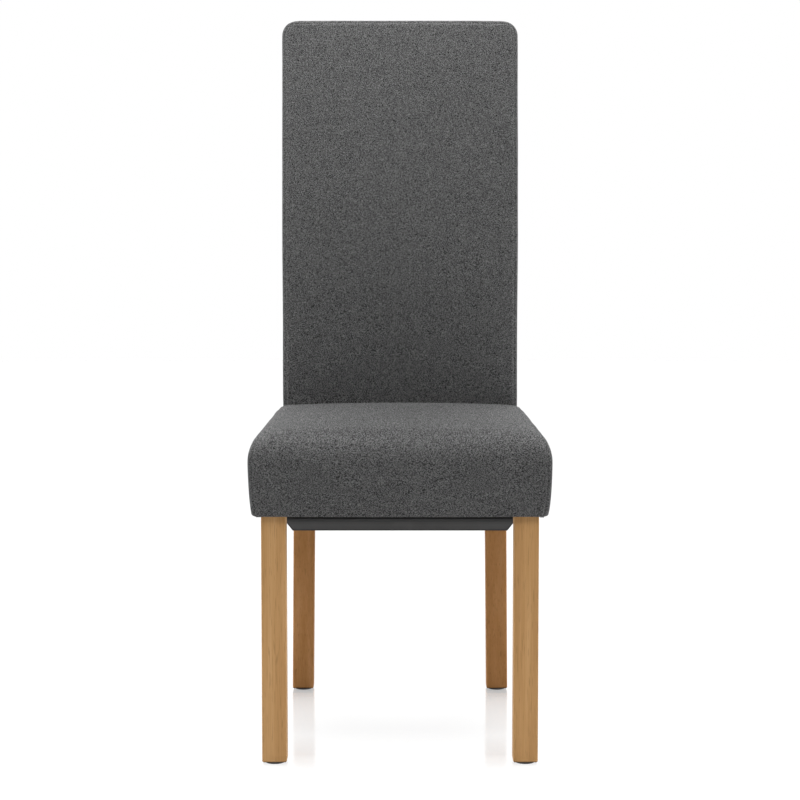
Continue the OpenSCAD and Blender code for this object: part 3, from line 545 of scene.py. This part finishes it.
def ripple(o, amount, scale, seed, where):
    """Slow unevenness of hand-stretched cloth, along the surface's normals."""
    a, n = coords(o), normals(o)
    for i, p in enumerate(a):
        w = where(p)
        if w > 0:
            a[i] += n[i] * amount * w * noise.noise(Vector(p) * scale + Vector((seed, 0, seed)))
    set_coords(o, a)


def shell(rings, grid_counts):
    """Faces and points of a stack of equal closed rings, the last one filled with a grid.
    A ring starts at its front left corner and runs anticlockwise: nx segments, ny, nx, ny."""
    nx, ny = grid_counts
    m = len(rings[0])
    verts = [p for ring in rings for p in ring]
    faces = []
    for k in range(len(rings) - 1):
        for i in range(m):
            a, b = k * m + i, k * m + (i + 1) % m
            faces.append((a, b, b + m, a + m))
    top = (len(rings) - 1) * m
    ring = [Vector(p) for p in rings[-1]]
    bottom, right = ring[:nx + 1], ring[nx:nx + ny + 1]
    upper = list(reversed(ring[nx + ny:2 * nx + ny + 1]))
    left = list(reversed(ring[2 * nx + ny:] + ring[:1]))
    index = {}
    for i in range(nx + 1):
        index[i, 0] = top + i
        index[i, ny] = top + 2 * nx + ny - i
    for j in range(ny + 1):
        index[nx, j] = top + nx + j
        index[0, j] = top + (2 * nx + 2 * ny - j) % m
    for j in range(1, ny):
        t = j / ny
        for i in range(1, nx):
            s = i / nx
            p = bottom[i] * (1 - t) + upper[i] * t + left[j] * (1 - s) + right[j] * s
            p -= (bottom[0] * (1 - s) + bottom[nx] * s) * (1 - t) + (upper[0] * (1 - s) + upper[nx] * s) * t
            index[i, j] = len(verts)
            verts.append(p)
    for j in range(ny):
        for i in range(nx):
            faces.append((index[i, j], index[i + 1, j], index[i + 1, j + 1], index[i, j + 1]))
    return verts, faces


def turn(cx, cy, r, a0, a1, n):
    """n points on an arc from a0 degrees, short of a1."""
    return [(cx + r * math.cos(math.radians(a0 + (a1 - a0) * i / n)),
             cy + r * math.sin(math.radians(a0 + (a1 - a0) * i / n))) for i in range(n)]


def run(p, q, n):
    return [(p[0] + (q[0] - p[0]) * i / n, p[1] + (q[1] - p[1]) * i / n) for i in range(n)]


def outline(front, rear, y1, y2, r1, r2, counts):
    """A four-sided outline with round corners, from the middle of its front left corner."""
    kf, kr, m, ms = counts
    mr = m + 2 * kf - 2 * kr
    return (
        turn(r1 - front, y1 + r1, r1, 225, 270, kf) + run((r1 - front, y1), (front - r1, y1), m)
        + turn(front - r1, y1 + r1, r1, 270, 360, 2 * kf) + run((front, y1 + r1), (rear, y2 - r2), ms)
        + turn(rear - r2, y2 - r2, r2, 0, 90, 2 * kr) + run((rear - r2, y2), (r2 - rear, y2), mr)
        + turn(r2 - rear, y2 - r2, r2, 90, 180, 2 * kr) + run((-rear, y2 - r2), (-front, y1 + r1), ms)
        + turn(r1 - front, y1 + r1, r1, 180, 225, kf))


# ---------------------------------------------------------------- seat
SEAT_COUNTS = (6, 3, 60, 62)
SEAT_NX = SEAT_COUNTS[2] + 2 * SEAT_COUNTS[0]
SEAT_NY = SEAT_COUNTS[3] + SEAT_COUNTS[0] + SEAT_COUNTS[1]


def seat_draw_at(z):
    return SEAT_DRAW * (max(0, ROLL_Z - z) / (ROLL_Z - COVER_Z)) ** 2


def seat_finish(x, y, z, front_half, y1, y2, lift):
    """The bow of the seat's front, and the crown of its top."""
    reach = (y2 - y1) / 3
    y -= SEAT_BOW * (1 - (x / front_half) ** 2) * max(0, 1 - (y - y1) / reach)
    z += lift * SEAT_CROWN * max(0, 1 - (x / (SEAT_HALF - SIDE_ROLL)) ** 2)
    return Vector((x, y, z))


def seat_level(z, side_in, front_in, rear_in, lift):
    r1 = max(REAR_CORNER, SEAT_CORNER + 0.6 * (front_in - SEAT_DRAW))
    return {
        "front": SEAT_HALF - side_in, "rear": SEAT_HALF - SEAT_TAPER - side_in,
        "y1": FRONT_Y + SEAT_BOW + front_in, "y2": REAR_Y - rear_in, "r1": r1,
        "r2": REAR_CORNER + rear_in, "z": z, "lift": lift}


def seat_ring(v):
    flat = outline(v["front"], v["rear"], v["y1"], v["y2"], v["r1"], v["r2"], SEAT_COUNTS)
    return [seat_finish(x, y, v["z"], v["front"], v["y1"], v["y2"], v["lift"]) for x, y in flat]


def roll_level(a):
    """A level of the roll from the upright wall, a = 0, to the top, a = 90."""
    c, s = math.cos(math.radians(a)), math.sin(math.radians(a))
    return seat_level(ROLL_Z + SEAT_ROLL * s, SIDE_ROLL * (1 - c), SEAT_ROLL * (1 - c),
                      0.006 * (1 - c) ** 2, s * s)


def wall_level(z):
    d = seat_draw_at(z)
    return seat_level(z, d, d, 0, 0)


def leg_boxes(spare):
    for name in ("front_leg_left", "front_leg_right"):
        lo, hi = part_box(name)
        yield lo.x - spare, hi.x + spare, lo.y - spare, hi.y + spare


def fold_ring(start, z):
    """The folded cloth's inner edge under the seat, held off the front legs."""
    boxes = list(leg_boxes(0.0006))
    out = []
    m = len(start)
    for i, p in enumerate(start):
        t = (start[(i + 1) % m] - start[i - 1]).normalized()
        n = Vector((-t.y, t.x, 0))
        reach = 0.0
        while reach < SEAT_FOLD:
            q = p + n * (reach + 0.0005)
            if any(a < q.x < b and c < q.y < d for a, b, c, d in boxes):
                break
            reach += 0.0005
        out.append(Vector((p.x, p.y, z)) + n * reach)
    return out


LOWER_R = 0.0028
lower = [seat_ring(seat_level(
    COVER_Z + LOWER_R * (1 - math.cos(math.radians(a))),
    *[seat_draw_at(COVER_Z) + LOWER_R * (1 - math.sin(math.radians(a)))] * 2, 0, 0))
    for a in (0, 30, 60, 90)]
inner = fold_ring(lower[0], COVER_Z + 0.0001)
between_fold = [[p.lerp(q, t) for p, q in zip(inner, lower[0])] for t in (0.0, 0.4, 0.8)]
WALL_STEPS = 11
wall_h = ROLL_Z - COVER_Z - LOWER_R
walls = [seat_ring(wall_level(COVER_Z + LOWER_R + wall_h * k / WALL_STEPS)) for k in range(1, WALL_STEPS + 1)]
rolls = [seat_ring(roll_level(a)) for a in range(6, 91, 6)]
verts, faces = shell(between_fold + lower + walls + rolls, (SEAT_NX, SEAT_NY))
seat = make("seat_upholstery", verts, faces, FELT_SEAT_PAINTED_LIGHT)

# A little more crown from front to rear than the CAD's
EXTRA_CROWN = 0.0012
a = coords(seat)
top = a[:, 2] > SEAT_H - SEAT_CROWN - 0.0008
u = np.clip(a[:, 0] / (SEAT_HALF - SIDE_ROLL), -1, 1)
v = np.clip((a[:, 1] - (FRONT_Y + SEAT_ROLL)) / (REAR_Y - FRONT_Y - SEAT_ROLL), 0, 1)
a[:, 2] += np.where(top, EXTRA_CROWN * (1 - u ** 2) * np.sin(np.pi * v), 0)
set_coords(seat, a)

a = coords(seat)
held = np.where((a[:, 2] < COVER_Z + SEAT_TACKED) | (a[:, 1] > REAR_Y - REAR_TACKED), 1.0, 0.0)
puff(seat, held, SEAT_PRESSURE, SEAT_SWELL)
refine(seat)

# The seam runs where the surface has turned this far to the side, as the X of its normal
NX_SEAM = 0.55
seam_turn = math.degrees(math.acos(NX_SEAM))


def corner_point(v, phi):
    """A point on a level's front corner: phi is 0 at the side and 90 at the front."""
    c, s = math.cos(math.radians(phi)), math.sin(math.radians(phi))
    return seat_finish(v["front"] - v["r1"] + v["r1"] * c, v["y1"] + v["r1"] - v["r1"] * s,
                       v["z"], v["front"], v["y1"], v["y2"], v["lift"])


def seat_seam(side):
    """From the rear, along the roll at the seat's side, round the front corner and down to the hem."""
    v = roll_level(seam_turn)
    path = [seat_finish(v["front"] + (v["rear"] - v["front"]) * t, v["y1"] + v["r1"]
                        + (v["y2"] - v["r2"] - v["y1"] - v["r1"]) * t,
                        v["z"], v["front"], v["y1"], v["y2"], v["lift"]) for t in
            [1 - i / 60 for i in range(61)]]
    for i in range(1, 25):
        a = seam_turn * (1 - i / 24)
        phi = math.acos(min(1, NX_SEAM / math.cos(math.radians(a))))
        path.append(corner_point(roll_level(a), math.degrees(phi)))
    for i in range(1, 16):
        z = ROLL_Z - (ROLL_Z - COVER_Z - LOWER_R * 0.6) * i / 15
        path.append(corner_point(wall_level(z), seam_turn))
    return [Vector((side * p.x, p.y, p.z)) for p in path]


seat_seams = [seat_seam(1), seat_seam(-1)]
seat_seams = [[p for p, n in snap(seat, path)] for path in seat_seams]
ripple(seat, 0.0007, 14, 3.0, lambda p: 1.0 if p[2] > COVER_Z + 0.01 and p[1] < REAR_Y - 0.01 else 0.0)
sew(seat, seat_seams)
stitches("seat_stitches", seat, seat_seams, THREAD)
thicken(seat, CLOTH_T)
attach(seat, "root")
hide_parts("seat_cover")


# ---------------------------------------------------------------- back
BACK_COUNTS = (4, 4, 58, 6)
BACK_NX = BACK_COUNTS[2] + 2 * BACK_COUNTS[0]
BACK_NY = BACK_COUNTS[3] + 2 * BACK_COUNTS[0]


def lean(z):
    return BACK_SWEEP * (max(0, z - BEND_Z) / (TOP_Z - BEND_Z)) ** 2


def back_half(z):
    return (BACK_LOW_W + (BACK_TOP_W - BACK_LOW_W) * (z - BACK_Z) / (TOP_Z - BACK_Z)) / 2


def inset(z, r):
    """Inset of a quarter round of radius r that ends at the back's top."""
    return r - math.sqrt(max(0, r * r - (z - TOP_Z + r) ** 2)) if z > TOP_Z - r else 0.0


def back_level(z, side_in, front_off, rear_off, r):
    half = back_half(z) - side_in
    swell = BACK_CROWN * math.sin(math.pi / 2 * min(1, max(0, z - SEAT_H) / 0.2)) ** 2
    y1, y2 = BACK_Y + lean(z) + front_off, BACK_Y + lean(z) + rear_off
    flat = outline(half, half, y1, y2, r, r, BACK_COUNTS)
    reach = (y2 - y1) / 3
    return [Vector((x, y - swell * (1 - (x / half) ** 2) * max(0, 1 - (y - y1) / reach), z)) for x, y in flat]


fold_edge = back_level(BACK_Z, 0.014, 0.007, BACK_T - 0.007, 0.002)
back_rings = [fold_edge]
for a in (0, 30, 60):
    d = BACK_FOLD_R * (1 - math.sin(math.radians(a)))
    z = BACK_Z + BACK_FOLD_R * (1 - math.cos(math.radians(a)))
    back_rings.append(back_level(z, d, d, BACK_T - d, BACK_EDGE - 0.003))
wall_top = TOP_Z - BACK_CORNER
BACK_STEPS = 96
for k in range(BACK_STEPS + 1):
    z = BACK_Z + BACK_FOLD_R + (wall_top - BACK_Z - BACK_FOLD_R) * k / BACK_STEPS
    back_rings.append(back_level(z, 0, 0, BACK_T, BACK_EDGE))
for a in (10, 20, 30, 38, 46, 53, 60, 67, 74, 80, 85, 90):
    z = wall_top + BACK_CORNER * math.sin(math.radians(a))
    x_in, y_in = inset(z, BACK_CORNER), inset(z, BACK_EDGE)
    back_rings.append(back_level(z, x_in, y_in, BACK_T - y_in, BACK_EDGE))
verts, faces = shell(back_rings, (BACK_NX, BACK_NY))
back = make("back_upholstery", verts, faces, FELT_BACK)

a = coords(back)
front_face = (a[:, 2] < SEAT_H + 0.004) & (a[:, 1] < BACK_Y + 0.012)
held = np.where((a[:, 2] < BACK_Z + BACK_TACKED) | front_face, 1.0, 0.0)
puff(back, held, BACK_PRESSURE, BACK_SWELL)
refine(back)


def back_seam(face):
    """Up one side, round the top and down the other, just inside the panel's edge. face: 0 front, 1 rear."""
    d = BACK_EDGE * (1 - math.cos(math.radians(62)))
    deep = BACK_EDGE * (1 - math.sin(math.radians(62)))
    flat = []
    low = BACK_Z + 0.004
    for i in range(121):
        z = low + (wall_top - low) * i / 120
        flat.append((back_half(z) - d, z))
    r = BACK_CORNER - d
    cx, cz = back_half(TOP_Z) - BACK_CORNER, wall_top
    for i in range(1, 16):
        w = math.radians(90 * i / 15)
        flat.append((cx + r * math.cos(w), cz + r * math.sin(w)))
    half = flat + [(cx * (1 - i / 40), TOP_Z - d) for i in range(1, 41)]
    whole = half + [(-x, z) for x, z in reversed(half[:-1])]
    return [Vector((x, BACK_Y + lean(z) + (BACK_T - deep if face else deep), z)) for x, z in whole]


back_seams = [[p for p, n in snap(back, back_seam(face))] for face in (0, 1)]
ripple(back, 0.0006, 9, 11.0, lambda p: 1.0 if p[2] > BACK_Z + BACK_TACKED else 0.0)
sew(back, back_seams)
stitches("back_stitches", back, back_seams, THREAD)
thicken(back, CLOTH_T)
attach(back, "root")
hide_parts("back_cover")


# ---------------------------------------------------------------- inner foam and straps
def foam_piece(name, node, voxel):
    """Cut foam in a CAD soft solid's place, its corners worn round."""
    o = bpy.data.objects.new(name, NODES[node].data.copy())
    scene.collection.objects.link(o)
    m = o.modifiers.new("r", "REMESH")
    m.mode, m.voxel_size = "VOXEL", voxel
    s = o.modifiers.new("s", "SMOOTH")
    s.factor, s.iterations = 0.5, 2
    apply_modifiers(o)
    o.data.materials.clear()
    o.data.materials.append(FOAM)
    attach(o, "root")
    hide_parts(node)


foam_piece("seat_foam_pad", "seat_foam", 0.007)
foam_piece("back_foam_front", "back_front_foam", 0.006)
foam_piece("back_foam_left", "back_side_foam_left", 0.004)
foam_piece("back_foam_right", "back_side_foam_right", 0.004)
foam_piece("back_foam_rear", "back_rear_padding", 0.0045)


def islands(me):
    """The separate solids of a mesh, each as its vertices' places."""
    bm = bmesh.new()
    bm.from_mesh(me)
    bmesh.ops.remove_doubles(bm, verts=bm.verts, dist=1e-5)
    bm.verts.index_update()
    seen, out = set(), []
    for v in bm.verts:
        if v.index in seen:
            continue
        todo, group = [v], []
        seen.add(v.index)
        while todo:
            w = todo.pop()
            group.append(w.co.copy())
            for e in w.link_edges:
                u = e.other_vert(w)
                if u.index not in seen:
                    seen.add(u.index)
                    todo.append(u)
        out.append(group)
    bm.free()
    return out


def strap_piece(name, node, along, across):
    """Elastic straps in the CAD's places: the upper and lower faces follow the solid's own wave,
    with thinner selvedges and ribs along them."""
    up = 3 - along - across
    verts, faces = [], []
    for group in islands(NODES[node].data):
        lo = min(p[across] for p in group)
        hi = max(p[across] for p in group)
        side = [p for p in group if p[across] < lo + 1e-4]
        line = sorted({(round(p[along], 4), round(p[up], 5)) for p in side})
        spots = {}
        for q, h in line:
            spots.setdefault(q, []).append(h)
        keys = sorted(q for q in spots if len(spots[q]) > 1)
        mids = [(q, (min(spots[q]) + max(spots[q])) / 2) for q in keys]
        half = (max(spots[keys[0]]) - min(spots[keys[0]])) / 2 * 0.92
        n = max(8, int((keys[-1] - keys[0]) / 0.006))
        cols = 13
        base = len(verts)
        for face in (1, -1):
            for i in range(n + 1):
                q = keys[0] + (keys[-1] - keys[0]) * i / n
                h = float(np.interp(q, [m[0] for m in mids], [m[1] for m in mids]))
                for j in range(cols):
                    s = j / (cols - 1)
                    edge = min(s, 1 - s)
                    t = half * (0.55 if edge < 0.01 else 0.85 if j % 2 else 1.0)
                    p = [0.0, 0.0, 0.0]
                    p[along], p[across], p[up] = q, lo + (hi - lo) * s, h + face * t
                    verts.append(Vector(p))
        size = (n + 1) * cols
        for i in range(n):
            for j in range(cols - 1):
                a = base + i * cols + j
                quad = (a, a + cols, a + cols + 1, a + 1)
                faces.append(quad)
                faces.append(tuple(x + size for x in reversed(quad)))
        rim = ([base + j for j in range(cols)] + [base + i * cols + cols - 1 for i in range(1, n + 1)]
               + [base + n * cols + j for j in range(cols - 2, -1, -1)]
               + [base + i * cols for i in range(n - 1, 0, -1)])
        for x, y in zip(rim, rim[1:] + rim[:1]):
            faces.append((x, y, y + size, x + size))
    o = make(name, verts, faces, STRAP)
    bm = bmesh.new()
    bm.from_mesh(o.data)
    bmesh.ops.recalc_face_normals(bm, faces=bm.faces)
    bm.to_mesh(o.data)
    bm.free()
    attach(o, "root")
    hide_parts(node)


strap_piece("seat_straps_long", "seat_webbing_lengthwise", 1, 0)
strap_piece("seat_straps_cross", "seat_webbing_crosswise", 0, 1)
strap_piece("back_straps", "back_webbing", 2, 0)


# ---------------------------------------------------------------- dust cover under the seat
def dust_piece():
    """Thin black cloth stapled under the frame, cut round the front legs, with a turned hem."""
    lo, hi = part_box("dust_cover")
    me = NODES["dust_cover"].data
    rear = max(v.co.x for v in me.vertices if v.co.y > hi.y - 1e-4)
    front = hi.x
    nx, ny = 64, 68
    z = hi.z - 0.0003
    boxes = list(leg_boxes(0.0012))
    verts, faces = [], []

    def place(i, j):
        t = j / ny
        half = front + (rear - front) * t
        x, y = half * (2 * i / nx - 1), lo.y + (hi.y - lo.y) * t
        edge = min(half - abs(x), y - lo.y, hi.y - y)
        sag = -0.0016 * min(1, max(0, edge - 0.018) / 0.08)
        crease = 0.00045 * noise.noise(Vector((x * 22, y * 22, 0))) * min(1, max(0, edge - 0.012) / 0.03)
        pull = 0.0005 * math.sin(math.atan2(y - lo.y - 0.2, x) * 34) * math.exp(-edge / 0.03)
        hem = -0.0003 if edge < 0.012 else 0.0
        return Vector((x, y, z + sag + crease + hem + min(0, pull) * 0.6))

    index = {}
    for j in range(ny + 1):
        for i in range(nx + 1):
            index[i, j] = len(verts)
            verts.append(place(i, j))
    for j in range(ny):
        for i in range(nx):
            c = (verts[index[i, j]] + verts[index[i + 1, j + 1]]) / 2
            if not any(a < c.x < b and p < c.y < q for a, b, p, q in boxes):
                faces.append((index[i, j], index[i, j + 1], index[i + 1, j + 1], index[i + 1, j]))
    # the cut edges run straight beside the legs
    for a, b, p, q in boxes:
        for k, vtx in enumerate(verts):
            if a < vtx.x < b and p < vtx.y < q:
                gaps = {abs(vtx.x - a): Vector((a, vtx.y, vtx.z)), abs(vtx.x - b): Vector((b, vtx.y, vtx.z)),
                        abs(vtx.y - p): Vector((vtx.x, p, vtx.z)), abs(vtx.y - q): Vector((vtx.x, q, vtx.z))}
                verts[k] = gaps[min(gaps)]
    used = sorted({i for f in faces for i in f})
    new = {old: k for k, old in enumerate(used)}
    verts = [verts[i] for i in used]
    faces = [tuple(new[i] for i in f) for f in faces]
    o = make("dust_cloth_under_seat", verts, faces, DUST)
    m = o.modifiers.new("t", "SOLIDIFY")
    m.thickness, m.offset = 0.0004, 0
    apply_modifiers(o)
    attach(o, "root")
    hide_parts("dust_cover")
    return front, rear, lo, hi, boxes


dust_front, dust_rear, dust_lo, dust_hi, leg_cuts = dust_piece()


def staples():
    """Flat wire staples round the dust cover, each with its legs bent into the frame."""
    verts, faces = [], []
    spots = []
    inner = 0.006
    for side in (-1, 1):
        for i in range(13):
            t = (i + 0.5) / 13
            half = dust_front + (dust_rear - dust_front) * t - inner
            spots.append((side * half, dust_lo.y + (dust_hi.y - dust_lo.y) * t, 90))
    for i in range(11):
        t = (i + 0.5) / 11 * 2 - 1
        spots.append((t * (dust_front - 0.01), dust_lo.y + inner, 0))
        spots.append((t * (dust_rear - 0.01), dust_hi.y - inner, 0))
    for x, y, deg in spots:
        if any(a - 0.008 < x < b + 0.008 and p - 0.008 < y < q + 0.008 for a, b, p, q in leg_cuts):
            continue
        w = math.radians(deg + random.uniform(-9, 9))
        along = Vector((math.cos(w), math.sin(w), 0))
        across = Vector((-along.y, along.x, 0))
        z = dust_hi.z - 0.0009
        path = [(-0.005, 0.0012), (-0.0048, 0.0001), (-0.0040, -0.0002), (0.0040, -0.0002),
                (0.0048, 0.0001), (0.005, 0.0012)]
        base = len(verts)
        for s, h in path:
            for c, d in ((-0.0005, -0.00022), (0.0005, -0.00022), (0.0005, 0.00022), (-0.0005, 0.00022)):
                verts.append(Vector((x, y, z)) + along * s + across * c + Vector((0, 0, h + d)))
        for k in range(len(path) - 1):
            for i in range(4):
                a, b = base + 4 * k + i, base + 4 * k + (i + 1) % 4
                faces.append((a, b, b + 4, a + 4))
        faces.append((base, base + 1, base + 2, base + 3))
        e = base + 4 * (len(path) - 1)
        faces.append((e + 3, e + 2, e + 1, e))
    o = make("dust_cover_staples", verts, faces, ZINC)
    bm = bmesh.new()
    bm.from_mesh(o.data)
    bmesh.ops.recalc_face_normals(bm, faces=bm.faces)
    bm.to_mesh(o.data)
    bm.free()
    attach(o, "root")


staples()


# ---------------------------------------------------------------- studio
def area_light(name, size, place, target, watts, spread=180):
    d = bpy.data.lights.new(name, "AREA")
    d.shape, d.size, d.size_y, d.energy = "RECTANGLE", size[0], size[1], watts
    d.spread = math.radians(spread)
    o = bpy.data.objects.new(name, d)
    o.location = place
    o.rotation_mode = "QUATERNION"
    o.rotation_quaternion = (Vector(target) - Vector(place)).to_track_quat("-Z", "Y")
    o.visible_camera = False
    scene.collection.objects.link(o)


def white_world(ambient):
    """White wherever the camera, a mirror or glass looks; a plain level on everything else."""
    w = bpy.data.worlds.new("studio")
    w.use_nodes = True
    t = w.node_tree
    t.nodes.clear()
    out = t.nodes.new("ShaderNodeOutputWorld")
    path = t.nodes.new("ShaderNodeLightPath")
    seen = t.nodes.new("ShaderNodeMath")
    seen.operation = "MAXIMUM"
    t.links.new(path.outputs["Is Camera Ray"], seen.inputs[0])
    both = t.nodes.new("ShaderNodeMath")
    both.operation = "MAXIMUM"
    t.links.new(path.outputs["Is Glossy Ray"], both.inputs[0])
    t.links.new(path.outputs["Is Transmission Ray"], both.inputs[1])
    t.links.new(both.outputs[0], seen.inputs[1])
    plain, white = (t.nodes.new("ShaderNodeBackground") for _ in range(2))
    mix = t.nodes.new("ShaderNodeMixShader")
    plain.inputs["Color"].default_value = (1, 1, 1, 1)
    plain.inputs["Strength"].default_value = ambient
    white.inputs["Color"].default_value = (1, 1, 1, 1)
    t.links.new(seen.outputs[0], mix.inputs[0])
    t.links.new(plain.outputs[0], mix.inputs[1])
    t.links.new(white.outputs[0], mix.inputs[2])
    t.links.new(mix.outputs[0], out.inputs[0])
    scene.world = w


# How far the floor shines white by itself, and how much of the lamps' light it shows
FLOOR_GLOW = 0.88
FLOOR_SHADE = 0.22


def floor():
    """Pale floor: to the camera it is white paper with the chair's shadow, a little glossy under
    the rear legs; to everything else it is plain and diffuse."""
    g = Graph("studio_floor")
    far = g.add("ShaderNodeVectorMath", {0: g.where}, operation="LENGTH").outputs["Value"]
    far = g.step(far, 0.5, 1.4)
    glow = g.add("ShaderNodeEmission", {
        "Strength": g.math("ADD", g.math("MULTIPLY", far, 1 - FLOOR_GLOW), FLOOR_GLOW)})
    paper = g.add("ShaderNodeBsdfDiffuse", {"Color": (FLOOR_SHADE, FLOOR_SHADE, FLOOR_SHADE, 1)})
    lit = g.add("ShaderNodeAddShader", {0: paper.outputs[0], 1: glow.outputs[0]})
    gloss = g.add("ShaderNodeBsdfGlossy", {"Color": (1, 1, 1, 1), "Roughness": 0.10})
    place = g.step(g.axis(1), -0.40, 0.25)
    polish = g.ramp(place, [(0.06, 0.0), (0.17, 0.10), (0.27, 0.26), (0.45, 0.12), (0.66, 0.24), (0.82, 0.35),
                            (0.92, 0.50)])
    shiny = g.add("ShaderNodeMixShader", {0: polish, 1: lit.outputs[0], 2: gloss.outputs[0]})
    plain = g.add("ShaderNodeBsdfDiffuse", {"Color": (0.80, 0.80, 0.80, 1)})
    path = g.add("ShaderNodeLightPath")
    seen = g.math("MAXIMUM", path.outputs["Is Camera Ray"],
                  g.math("MAXIMUM", path.outputs["Is Glossy Ray"], path.outputs["Is Transmission Ray"]))
    mix = g.add("ShaderNodeMixShader", {0: seen, 1: plain.outputs[0], 2: shiny.outputs[0]})
    g.put(g.out.inputs["Surface"], mix.outputs[0])
    me = bpy.data.meshes.new("floor")
    me.from_pydata([(-8, -8, 0), (8, -8, 0), (8, 8, 0), (-8, 8, 0)], [], [(0, 1, 2, 3)])
    me.materials.append(g.mat)
    o = bpy.data.objects.new("floor", me)
    scene.collection.objects.link(o)


white_world(0.05)
floor()
area_light("key", (1.6, 0.8), (0.0, -1.1, 2.4), (0, 0.1, 0.7), 38.5)
area_light("high", (1.2, 0.6), (0.0, -0.4, 1.9), (0, 0.1, 0.7), 3.5)
area_light("over", (2.0, 1.2), (0.0, 0.25, 2.6), (0, 0.1, 0.6), 27)
area_light("behind", (2.0, 0.8), (0.0, 1.6, 2.3), (0, 0.2, 0.9), 50)
area_light("foot", (1.6, 0.2), (0.0, -2.4, 0.12), (0, -0.27, 0.04), 0.4, 30)
for side in (-1, 1):
    area_light(f"rim_{side}", (0.5, 1.0), (2.0 * side, 0.30, 0.60), (0, 0.0, 0.6), 22)

# The photograph's own camera, worked out from the chair's proportions in it
CAMERA_AT = (0, -3.379, 0.790)
CAMERA_TILT = 85
cam = bpy.data.cameras.new("camera")
cam.lens, cam.sensor_width, cam.sensor_fit = 100, 36, "HORIZONTAL"
cam_o = bpy.data.objects.new("camera", cam)
cam_o.location = CAMERA_AT
cam_o.rotation_euler = (math.radians(CAMERA_TILT), 0, 0)
scene.collection.objects.link(cam_o)
scene.camera = cam_o
scene.view_settings.view_transform = "Standard"
